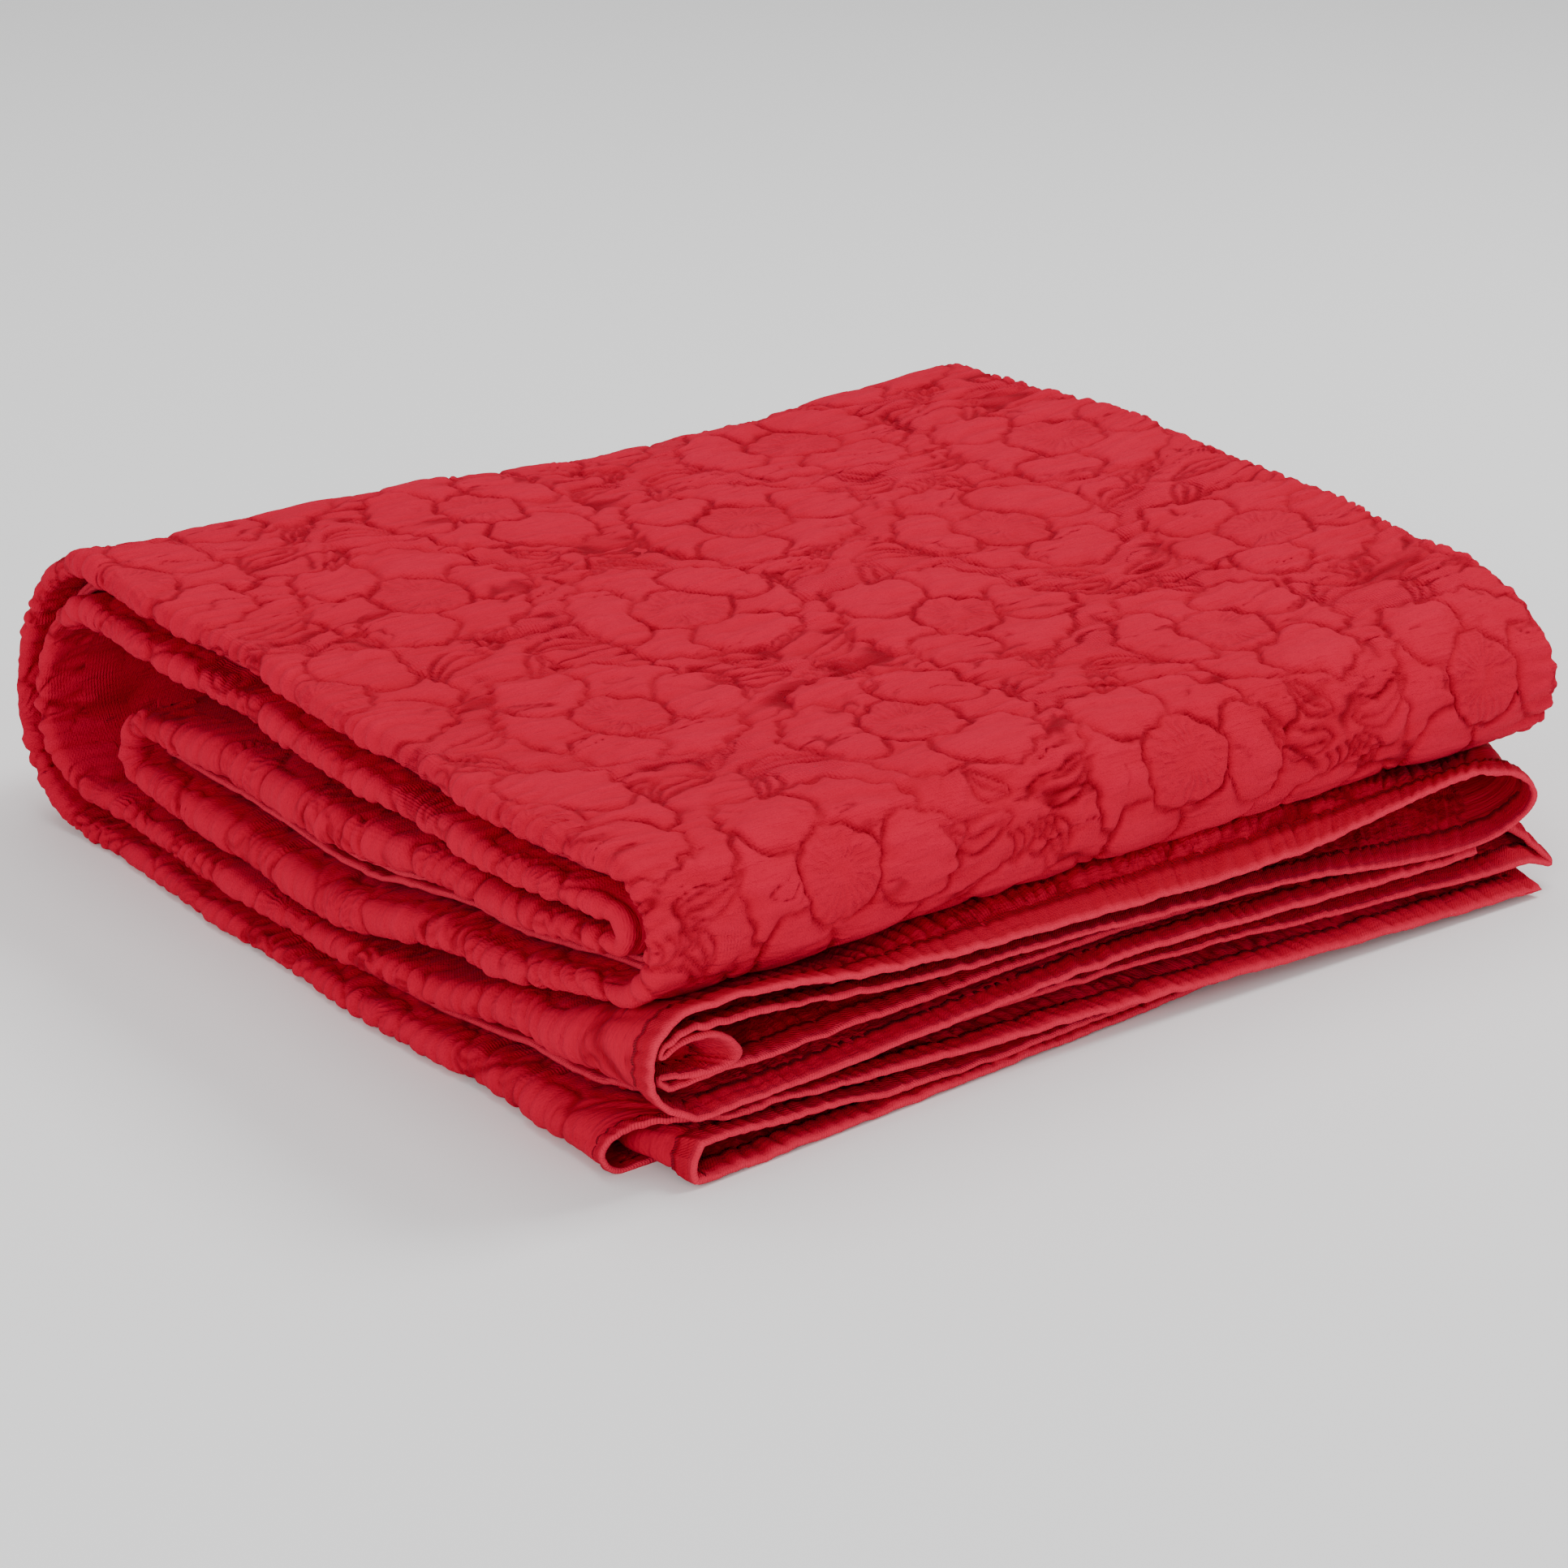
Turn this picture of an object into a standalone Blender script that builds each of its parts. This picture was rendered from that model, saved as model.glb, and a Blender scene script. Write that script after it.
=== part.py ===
"""A quilted bedspread folded into a block: one sheet, rolled to a strip, doubled and folded in three."""

from collections import namedtuple

import bpy
import numpy as np

# Sizes in metres. X runs along the front, Y goes back, Z is up and the block rests on Z = 0.
CLOTH_THICKNESS = 0.0015
HEM_THICKNESS = 0.0020
HEM_WIDTH = 0.010
STRIP_LEFT = -0.209
STRIP_RIGHT = 0.205
FRONT = -0.190
WRAP_Y = 0.164
BEND_Y = -0.162
TURN_Y = 0.128
FAN_LENGTH = 0.060
OUTER_LEVEL = 4.5
BLOCK_HEIGHT = 0.108

# The middle line of the doubled strip, as its height and half thickness at places along each run.
Run = namedtuple("Run", "y height half")
BOTTOM_RUN = (
    Run(FRONT, 0.0265, 0.0265),
    Run(-0.130, 0.0220, 0.0220),
    Run(-0.060, 0.0150, 0.0150),
    Run(0.030, 0.0120, 0.0120),
    Run(WRAP_Y, 0.0120, 0.0120),
)
TOP_RUN = (
    Run(WRAP_Y, 0.0960, 0.0125),
    Run(0.030, 0.0945, 0.0140),
    Run(-0.080, 0.0940, 0.0140),
    Run(BEND_Y, 0.0960, 0.0122),
)
MIDDLE_RUN = (
    Run(BEND_Y, 0.0680, 0.0122),
    Run(-0.090, 0.0590, 0.0165),
    Run(0.000, 0.0500, 0.0220),
    Run(0.070, 0.0480, 0.0210),
    Run(TURN_Y, 0.0480, 0.0160),
)

# One row for each pass of the cloth across the strip, from its free right edge to its free left one.
# At the hem a pass has its own ends, heights at five even places and front edge, in millimetres.
Pass = namedtuple("Pass", "name level left right heights front_left front_right")
UPPER_PASSES = (
    Pass("lower arm", 1.5, -187, 168, (22, 26, 28.5, 25.5, 23), -190, -190),
    Pass("top cover", 4.5, -187, 182, (56, 49.5, 47, 46.5, 50), -194, -188),
    Pass("under cover", 3.5, -186, 184, (49.5, 42, 39, 36.5, 35), -190, -186),
    Pass("inner arm", 2.5, -190, 181, (32.5, 34.5, 34.5, 32, 31), -187, -176),
    Pass("inner tongue", 0.5, -180, 198, (19.3, 21.5, 20.5, 16, 12), -180, -190),
)
LOWER_PASSES = (
    Pass("front corner", 1.5, -176, 203, (14, 13, 10, 6, 3.5), -188, -196),
    Pass("ground sheet", 4.5, -196, 196, (1, 1, 1, 1, 1), -172, -170),
    Pass("second sheet", 3.5, -189, 194, (1.6, 1.6, 2.2, 3.6, 3.6), -195, -175),
    Pass("third sheet", 2.5, -185, 192, (10.5, 5, 5.4, 6.4, 6.4), -193, -175),
    Pass("inner tongue", 0.5, -180, 190, (18, 17.8, 16.4, 15.2, 15), -172, -168),
)

# One row for each fold between two passes: its side, the sheet's steps over it and its reach at the hem.
Fold = namedtuple("Fold", "name side steps hem_reach")
UPPER_FOLDS = (
    Fold("outer left", -1, 6, 22),
    Fold("right", 1, 4, 19),
    Fold("inner left", -1, 6, 8),
    Fold("right corner", 1, 4, 18),
)
LOWER_FOLDS = (
    Fold("outer left", -1, 6, 26),
    Fold("right", 1, 4, 8),
    Fold("inner left", -1, 6, 8),
    Fold("right corner", 1, 4, 14),
)
# The curl pushed into the inner left fold at the hem, as places across and heights in millimetres.
CURL_ACROSS = (-186, -197, -184, -170, -184, -197, -190)
CURL_HEIGHTS = (49.5, 46.5, 45.5, 41, 36.5, 35.8, 32)

# How far the block's two sides have risen and spread since it was folded, in millimetres, from front to back.
Settled = namedtuple("Settled", "y lift_left lift_right spread_left spread_right")
SETTLED = (
    Settled(FRONT, 0.0, -2.0, 1.0, 0.0),
    Settled(-0.130, 0.3, 10.0, 6.5, 7.0),
    Settled(-0.040, 1.0, 11.0, 4.0, 11.5),
    Settled(0.080, 3.0, 13.5, 6.5, 17.0),
    Settled(0.190, 6.0, 11.5, 9.0, 18.0),
)

PASS_STEPS = 4
HEM_STATIONS = (0.0, HEM_WIDTH, HEM_WIDTH + 0.0035, 0.028, FAN_LENGTH)
RUN_STEPS = 4
WRAP_STEPS = 7
BEND_STEPS = 6
TURN_STEPS = 5

for leftover in list(bpy.data.objects):
    bpy.data.objects.remove(leftover)


def smooth_table(rows, places):
    """The columns of a table at these places along Y, eased between its rows."""
    ordered = np.array(sorted(rows))
    known = ordered[:, 0]
    index = np.clip(np.searchsorted(known, places, side="right") - 1, 0, len(known) - 2)
    part = np.clip((places - known[index]) / (known[index + 1] - known[index]), 0, 1)
    eased = part**2 * (3 - 2 * part)
    return [column[index] * (1 - eased) + column[index + 1] * eased for column in ordered.T[1:]]


def run_stations(rows, places):
    """Stations along a run: place, height, half thickness and the direction to the strip's upper group."""
    heights, halves = smooth_table(rows, places)
    step = 1e-4
    before, _ = smooth_table(rows, places - step)
    after, _ = smooth_table(rows, places + step)
    slope = (after - before) / (2 * step)
    side = 1.0 if rows[-1].y > rows[0].y else -1.0
    length = np.hypot(1.0, slope)
    normals = np.stack([-slope / length, 1 / length], axis=1) * side
    return np.column_stack([places, heights, halves, normals])


def bend_stations(start, end, steps, side):
    """Stations round a half turn between two rows at the same place, leaving out both ends."""
    turn = np.pi * np.arange(1, steps) / steps
    radius = abs(end.height - start.height) / 2
    middle = (end.height + start.height) / 2
    way = np.sign(end.height - start.height)
    places = start.y + side * radius * np.sin(turn)
    heights = middle - way * radius * np.cos(turn)
    halves = start.half + (end.half - start.half) * turn / np.pi
    normals = np.column_stack([-side * np.sin(turn), way * np.cos(turn)])
    return np.column_stack([places, heights, halves, normals])


def strip_path():
    """The strip's middle line from the hems to its inner end, one row for each station."""
    near = FRONT + np.array(HEM_STATIONS)
    bottom = np.concatenate([near, np.linspace(near[-1], WRAP_Y, RUN_STEPS + 1)[1:]])
    top = np.linspace(WRAP_Y, BEND_Y, RUN_STEPS + 1)
    middle = np.linspace(BEND_Y, TURN_Y, RUN_STEPS + 1)
    return np.vstack([
        run_stations(BOTTOM_RUN, bottom),
        bend_stations(BOTTOM_RUN[-1], TOP_RUN[0], WRAP_STEPS, 1),
        run_stations(TOP_RUN, top),
        bend_stations(TOP_RUN[-1], MIDDLE_RUN[0], BEND_STEPS, -1),
        run_stations(MIDDLE_RUN, middle),
    ])


def strip_edges(path):
    """The strip's left and right limits at each station, a little uneven along its length."""
    along = np.concatenate([[0], np.cumsum(np.hypot(*np.diff(path[:, :2], axis=0).T))])
    left = STRIP_LEFT + 0.0022 * np.sin(23 * along + 0.4) - 0.0014 * np.sin(51 * along)
    right = STRIP_RIGHT + 0.0024 * np.sin(19 * along + 2.0) + 0.0012 * np.sin(47 * along)
    return left, right


def fold_table(path):
    """Ends of the five passes and the reach of the four folds at each station, away from the hem."""
    left, right = strip_edges(path)
    pitch = (path[:, 2] - CLOTH_THICKNESS / 2) / OUTER_LEVEL
    inner_left = left + pitch + 0.0025
    passes = (
        (left + 1.5 * pitch, right - pitch - 0.006),
        (left + 1.5 * pitch, right - 0.5 * pitch),
        (inner_left + 0.5 * pitch, right - 0.5 * pitch),
        (inner_left + 0.5 * pitch, right - pitch + 0.001),
        (left + 0.012, right - pitch + 0.001),
    )
    reaches = (1.5 * pitch, 0.5 * pitch, 0.5 * pitch, pitch)
    return pitch, passes, reaches


def half_section(path, passes, folds, group):
    """Places across, distances from the middle line, and the same at the hem, for one group of five passes."""
    pitch, ends, reaches = fold_table(path)
    across, away, hem = [], [], []
    for number, row in enumerate(passes):
        leftward = number % 2 == 0
        parts = np.linspace(1, 0, PASS_STEPS + 1) if leftward else np.linspace(0, 1, PASS_STEPS + 1)
        low, high = ends[number]
        across.append(low[:, None] + (high - low)[:, None] * parts)
        away.append(np.repeat((row.level * pitch)[:, None], len(parts), axis=1))
        hem.append(np.column_stack([
            row.left + (row.right - row.left) * parts,
            row.front_left + (row.front_right - row.front_left) * parts,
            np.interp(parts, np.linspace(0, 1, 5), row.heights),
        ]))
        if number == len(folds):
            break
        fold, following = folds[number], passes[number + 1]
        turn = np.pi * np.arange(1, fold.steps) / fold.steps
        ease = (1 - np.cos(turn)) / 2
        next_end = ends[number + 1][0 if leftward else 1]
        this_end = ends[number][0 if leftward else 1]
        across.append(
            this_end[:, None] + (next_end - this_end)[:, None] * ease
            + fold.side * reaches[number][:, None] * np.sin(turn)
        )
        away.append((row.level + (following.level - row.level) * ease) * pitch[:, None])
        start = hem[-1][-1]
        finish = np.array([
            following.left if leftward else following.right,
            following.front_left if leftward else following.front_right,
            following.heights[0 if leftward else -1],
        ])
        bent = start + (finish - start) * ease[:, None]
        bent[:, 0] += fold.side * fold.hem_reach * np.sin(turn)
        if group > 0 and fold.name == "inner left":
            bent[:, 0] = CURL_ACROSS[1:-1]
            bent[:, 2] = CURL_HEIGHTS[1:-1]
        hem.append(bent)
    return np.hstack(across), np.hstack(away), np.vstack(hem) / 1000


def group_points(path, passes, folds, group):
    """Points of one group: its strip laid along the path, opened out into its own shape at the hem."""
    across, away, hem = half_section(path, passes, folds, group)
    points = np.stack([
        across,
        path[:, :1] + group * away * path[:, 3:4],
        path[:, 1:2] + group * away * path[:, 4:5],
    ], axis=2)
    curl = 4 * PASS_STEPS + sum(fold.steps for fold in folds[:2]) - PASS_STEPS
    for number, station in enumerate(HEM_STATIONS):
        share = np.full((len(hem), 1), (1 - station / FAN_LENGTH) ** 1.5)
        share[curl + 1:curl + folds[2].steps] = (1 - station / FAN_LENGTH) ** 3.5
        opened = hem + np.array([0, station, 0])
        points[number] = points[number] * (1 - share) + opened * share
    return points


def inner_end(path):
    """Points round the strip's inner end, where the upper group turns under into the lower one."""
    across, away, _ = half_section(path, UPPER_PASSES, UPPER_FOLDS, 1)
    rows = []
    for turn in np.pi * np.arange(1, TURN_STEPS) / TURN_STEPS:
        rows.append(np.stack([
            across[-1],
            path[-1, 0] + away[-1] * np.sin(turn),
            path[-1, 1] + away[-1] * np.cos(turn),
        ], axis=1))
    return np.array(rows)


def settle(points):
    """The folded block as it has settled: a gentle sag and swell that leaves the ground flat."""
    x, y, z = points[..., 0].copy(), points[..., 1].copy(), points[..., 2].copy()
    rise = z / BLOCK_HEIGHT
    back = np.clip((y - FRONT) / (2 * -FRONT), 0, 1)
    side = np.abs(x) / STRIP_RIGHT
    lift_left, lift_right, spread_left, spread_right = smooth_table(SETTLED, y)
    swell = 0.0013 * np.sin(13 * x + 0.5) * np.cos(11 * y) + 0.0010 * np.sin(31 * x - 17 * y)
    swell = swell + 0.0045 * back**2 * np.exp(-(((x + 0.100) / 0.090) ** 2))
    lift = np.where(x > 0, lift_right * side**3, lift_left * side**2) / 1000
    points[..., 2] = z + (swell + lift) * rise**2
    upward = np.sqrt(np.clip(rise, 0, 1))
    spread = np.where(x > 0, spread_right * upward, -spread_left * (1 - rise)) / 1000
    points[..., 0] = x + spread * side**2
    points[..., 1] = y + 0.003 * np.sin(15 * x + 1.0) * rise
    return points


def build_sheet(name):
    """The sheet as a grid of quads, given its thickness both ways, with thicker hems."""
    path = strip_path()
    upper = group_points(path, UPPER_PASSES, UPPER_FOLDS, 1)
    lower = group_points(path, LOWER_PASSES, LOWER_FOLDS, -1)
    grid = settle(np.concatenate([upper, inner_end(path), lower[::-1]]))
    corners = grid.reshape(-1, 3)
    middle = (corners.min(axis=0) + corners.max(axis=0)) / 2
    grid = grid - np.array([middle[0], middle[1], 0])
    rows, columns = grid.shape[:2]
    numbers = np.arange(rows * columns).reshape(rows, columns)
    quads = np.stack([numbers[:-1, :-1], numbers[:-1, 1:], numbers[1:, 1:], numbers[1:, :-1]], axis=2)
    mesh = bpy.data.meshes.new(name)
    mesh.from_pydata(grid.reshape(-1, 3).tolist(), [], quads.reshape(-1, 4).tolist())
    mesh.update()
    sheet = bpy.data.objects.new(name, mesh)
    holder = bpy.data.collections.new(name)
    bpy.context.scene.collection.children.link(holder)
    holder.objects.link(sheet)
    body = sheet.vertex_groups.new(name="thickness")
    plain = CLOTH_THICKNESS / HEM_THICKNESS
    body.add(numbers[2:-2].ravel().tolist(), plain, "REPLACE")
    body.add(numbers[[0, 1, -2, -1]].ravel().tolist(), 1.0, "REPLACE")
    thicken = sheet.modifiers.new("cloth thickness", "SOLIDIFY")
    thicken.thickness = HEM_THICKNESS
    thicken.offset = 0
    thicken.vertex_group = body.name
    return sheet


def cloth_material():
    """The dyed cotton."""
    material = bpy.data.materials.new("red cotton")
    material.use_nodes = True
    shader = material.node_tree.nodes["Principled BSDF"]
    shader.inputs["Base Color"].default_value = (0.52, 0.030, 0.045, 1)
    shader.inputs["Roughness"].default_value = 0.85
    return material


quilt = build_sheet("quilted_throw")
quilt.data.materials.append(cloth_material())
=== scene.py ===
"""Looks of a folded quilted bedspread: one red cotton sheet with turned hems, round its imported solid."""

import logging
import math
from dataclasses import dataclass
from enum import Enum
from typing import Callable, NamedTuple

import bpy
import numpy as np
from mathutils import Matrix, Vector

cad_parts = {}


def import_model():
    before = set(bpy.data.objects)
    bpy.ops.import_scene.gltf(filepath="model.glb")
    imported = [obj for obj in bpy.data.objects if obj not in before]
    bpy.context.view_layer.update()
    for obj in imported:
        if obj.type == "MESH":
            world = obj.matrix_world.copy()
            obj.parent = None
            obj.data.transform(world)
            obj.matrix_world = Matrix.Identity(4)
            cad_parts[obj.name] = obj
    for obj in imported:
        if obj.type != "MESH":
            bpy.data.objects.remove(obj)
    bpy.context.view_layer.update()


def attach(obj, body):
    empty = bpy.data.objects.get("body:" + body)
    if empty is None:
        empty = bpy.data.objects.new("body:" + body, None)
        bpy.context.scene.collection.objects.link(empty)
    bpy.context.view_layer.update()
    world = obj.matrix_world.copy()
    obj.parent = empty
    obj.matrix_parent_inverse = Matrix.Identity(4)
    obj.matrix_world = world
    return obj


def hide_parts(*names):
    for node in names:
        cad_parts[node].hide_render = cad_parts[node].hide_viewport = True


LOG = logging.getLogger("bedspread")
MILLIMETRE = 0.001
NODE = "quilted_throw"
BODY = "root"

# Sizes in metres. X runs along the front, Y goes back, Z is up and the block rests on Z = 0.
CLOTH_THICKNESS = 0.0015
HEM_WIDTH = 0.010
HEM_GATHER_SPACING = 0.0062
PASS_WIDTH = 0.385
STRIP_LEFT = -0.209
STRIP_RIGHT = 0.205
FRONT = -0.190
WRAP_Y = 0.164
BEND_Y = -0.162
TURN_Y = 0.128
FAN_LENGTH = 0.060
OUTER_LEVEL = 4.5
BLOCK_HEIGHT = 0.108
BLOCK_MIDDLE = (0.003360, 0.010815)
HEM_STEPS = np.linspace(0, HEM_WIDTH, 6)
HEM_GATHER_SWAY = 3.0


class Run(NamedTuple):
    """A place along one run of the strip: the height of its middle line and its half thickness."""

    y: float
    height: float
    half: float


class Pass(NamedTuple):
    """One pass across the strip: its level, and at the hem its two ends, heights and front edge in mm."""

    name: str
    level: float
    left: float
    right: float
    heights: tuple[float, ...]
    front_left: float
    front_right: float


class Fold(NamedTuple):
    """A fold between two passes: the side it is on (-1 left, 1 right) and its reach at the hem in mm.

    A fold with a bend of its own takes its reach from that.
    """

    name: str
    side: int
    hem_reach: float = 0.0


class Settled(NamedTuple):
    """How far the block's two sides have risen and spread at one place along Y, in mm."""

    y: float
    lift_left: float
    lift_right: float
    spread_left: float
    spread_right: float


BOTTOM_RUN = (
    Run(FRONT, 0.0265, 0.0265),
    Run(-0.130, 0.0220, 0.0220),
    Run(-0.060, 0.0150, 0.0150),
    Run(0.030, 0.0120, 0.0120),
    Run(WRAP_Y, 0.0120, 0.0120),
)
TOP_RUN = (
    Run(WRAP_Y, 0.0960, 0.0125),
    Run(0.030, 0.0945, 0.0140),
    Run(-0.080, 0.0940, 0.0140),
    Run(BEND_Y, 0.0960, 0.0122),
)
MIDDLE_RUN = (
    Run(BEND_Y, 0.0680, 0.0122),
    Run(-0.090, 0.0590, 0.0165),
    Run(0.000, 0.0500, 0.0220),
    Run(0.070, 0.0480, 0.0210),
    Run(TURN_Y, 0.0480, 0.0160),
)
UPPER_PASSES = (
    Pass("lower arm", 1.5, -187, 168, (21.6, 25, 28.5, 25.5, 23), -190, -190),
    Pass("top cover", 4.5, -187, 166, (63, 52.5, 47.5, 46.4, 55.8), -193, -189),
    Pass("under cover", 3.5, -188, 165, (54.5, 45.5, 40.5, 34.8, 25), -190, -188),
    Pass("inner arm", 2.5, -199, 181, (34, 33.8, 33.5, 30, 27), -187, -176),
    Pass("inner tongue", 0.5, -180, 198, (19.3, 21.5, 20.5, 16, 12), -180, -190),
)
LOWER_PASSES = (
    Pass("front corner", 1.5, -176, 200, (17.8, 13.5, 10, 6, 3.5), -188, -196),
    Pass("ground sheet", 4.5, -196, 196, (1, 1, 1, 1, 1), -172, -170),
    Pass("second sheet", 3.5, -189, 194, (1.6, 1.6, 2.2, 3.6, 3.6), -195, -175),
    Pass("third sheet", 2.5, -186, 192, (14.2, 5.8, 5.4, 6.4, 6.4), -193, -175),
    Pass("inner tongue", 0.5, -180, 190, (18, 17.8, 16.4, 15.2, 15), -172, -168),
)
UPPER_FOLDS = (Fold("outer left", -1), Fold("right", 1), Fold("inner left", -1), Fold("right corner", 1))
LOWER_FOLDS = (
    Fold("outer left", -1),
    Fold("right", 1, 8),
    Fold("inner left", -1),
    Fold("right corner", 1, 14),
)
SETTLED = (
    Settled(FRONT, 0.0, -2.0, 1.0, 0.0),
    Settled(-0.130, 0.3, 10.0, 6.5, 7.0),
    Settled(-0.040, 1.0, 11.0, 4.0, 11.5),
    Settled(0.080, 3.0, 13.5, 6.5, 17.0),
    Settled(0.190, 6.0, 11.5, 9.0, 18.0),
)


class Group(Enum):
    """The two halves of the doubled strip, as the direction in which each lies from the middle line."""

    UPPER = 1
    LOWER = -1


class Bend(NamedTuple):
    """How one fold runs at the hem: evenly spaced points in mm, and whether it uncurls quickly behind it."""

    group: Group
    fold: str
    across: tuple[float, ...]
    fronts: tuple[float, ...]
    heights: tuple[float, ...]
    curled: bool


HEM_BENDS = (
    Bend(
        Group.UPPER, "outer left", (-187, -199.6, -206.5, -208.6, -205.6, -197.8, -187),
        (-190, -190, -190, -190.5, -191.5, -192.5, -193), (21.6, 26.9, 35.1, 46, 55.4, 62, 63), False,
    ),
    Bend(
        Group.UPPER, "right", (166, 174, 183, 191, 197.5, 197.5, 192, 180, 165),
        (-189, -189, -189, -189, -189, -188.5, -188, -188, -188),
        (55.8, 54, 52, 47.5, 41, 34.5, 29.8, 26.3, 25), False,
    ),
    Bend(
        Group.UPPER, "inner left",
        (-188, -197.5, -204.5, -204, -195, -184, -175.5, -171, -173.5, -183, -194, -203, -199),
        (-190, -190, -190, -189.5, -189, -188.5, -188, -187.5, -187, -187, -187, -187, -187),
        (54.5, 54, 50.8, 47.2, 50.2, 50.4, 46, 39.8, 36.2, 36, 37.4, 38.6, 34), True,
    ),
    Bend(
        Group.UPPER, "right corner", (181, 189, 197.5, 205, 211, 205.5, 198),
        (-176, -178, -182, -187, -190, -190, -190), (27, 26.5, 22, 14.8, 8.4, 9.6, 12), False,
    ),
    Bend(
        Group.LOWER, "outer left", (-176, -187, -200, -209.5, -212, -206, -196),
        (-188, -180, -174, -172, -172, -172, -172), (17.8, 17.4, 16.4, 12.8, 6.8, 1.6, 1), False,
    ),
    Bend(
        Group.LOWER, "inner left", (-189, -192.3, -193.3, -192.4, -190.8, -188.8, -186),
        (-195, -195, -194.5, -194, -193.5, -193, -193), (1.6, 2.4, 5.5, 9, 12, 13.8, 14.2), False,
    ),
)


def eased(part: np.ndarray) -> np.ndarray:
    """Smooth step from 0 to 1: three times the square less twice the cube."""
    part = np.clip(part, 0, 1)
    return part * part * (3 - 2 * part)


def smooth_table(rows: tuple, places: np.ndarray) -> list[np.ndarray]:
    """The columns of a table at these places along Y, eased between its rows.

    Args:
        rows: rows whose first value is the place.
        places: where to read the other columns.

    Returns:
        One array for each column after the first.
    """
    ordered = np.array(sorted(rows))
    known = ordered[:, 0]
    index = np.clip(np.searchsorted(known, places, side="right") - 1, 0, len(known) - 2)
    part = eased((places - known[index]) / (known[index + 1] - known[index]))
    return [column[index] * (1 - part) + column[index + 1] * part for column in ordered.T[1:]]


def through_points(values: tuple, part: np.ndarray) -> np.ndarray:
    """A curve of cubic pieces through evenly spaced values, level at both ends.

    Args:
        values: the values to pass through.
        part: places along the curve from 0 to 1.

    Returns:
        The curve's value at each place.
    """
    known = np.array(values, float)
    slope = np.zeros(len(known))
    slope[1:-1] = (known[2:] - known[:-2]) / 2
    place = np.clip(part, 0, 1) * (len(known) - 1)
    index = np.minimum(place.astype(int), len(known) - 2)
    t = place - index
    return (
        known[index] * (1 + 2 * t) * (1 - t) ** 2
        + slope[index] * t * (1 - t) ** 2
        + known[index + 1] * t**2 * (3 - 2 * t)
        + slope[index + 1] * t**2 * (t - 1)
    )


# Uneven factors that turn whole coordinates into values without a pattern.
HASH_X = 12.9898
HASH_Y = 78.233
HASH_SEED = 37.719
HASH_SCALE = 43758.5453


def lattice_noise(x: np.ndarray, y: np.ndarray, seed: int) -> np.ndarray:
    """Smooth noise from -1 to 1: hashed values at whole coordinates, eased between them.

    Args:
        x: first coordinate, in noise cells.
        y: second coordinate, in noise cells.
        seed: which noise.

    Returns:
        The noise at each point.
    """
    cell_x, cell_y = np.floor(x), np.floor(y)
    part_x, part_y = eased(x - cell_x), eased(y - cell_y)

    def value(step_x: int, step_y: int) -> np.ndarray:
        """The hashed value at one corner of each point's cell."""
        mixed = (cell_x + step_x) * HASH_X + (cell_y + step_y) * HASH_Y + seed * HASH_SEED
        turned = np.sin(mixed) * HASH_SCALE
        return turned - np.floor(turned)

    near = value(0, 0) * (1 - part_x) + value(1, 0) * part_x
    far = value(0, 1) * (1 - part_x) + value(1, 1) * part_x
    return 2 * (near * (1 - part_y) + far * part_y) - 1


def running_length(line: np.ndarray) -> np.ndarray:
    """Length along a row of points, from 0 at the first."""
    return np.concatenate([[0], np.cumsum(np.linalg.norm(np.diff(line, axis=0), axis=1))])


def hem_gathers(x: np.ndarray, y: np.ndarray) -> np.ndarray:
    """Gathers that run back from a hem's stitching: a rectified sine along the hem, bent by noise.

    Args:
        x: length along the hem, in metres.
        y: distance from it.

    Returns:
        Their height, from -0.5 to 0.5.
    """
    sway = lattice_noise(x / 0.026, y / 0.030, 14) + 0.4 * lattice_noise(x / 0.011, y / 0.013, 15)
    uneven = 0.75 + 0.45 * lattice_noise(x / 0.017, y / 0.020, 24)
    wave = np.sin(np.pi * x / HEM_GATHER_SPACING + HEM_GATHER_SWAY * sway)
    return (np.abs(wave) ** 0.8 - 0.55) * uneven


def graded(*stretches: tuple[float, float, float]) -> np.ndarray:
    """Places along a line made of stretches, without repeats where they meet.

    Args:
        stretches: the start, end and rough spacing of each.

    Returns:
        The places in order.
    """
    found = []
    for low, high, step in stretches:
        count = max(2, int(round((high - low) / step)) + 1)
        found.append(np.linspace(low, high, count))
    return np.concatenate([found[0]] + [row[1:] for row in found[1:]])


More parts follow.
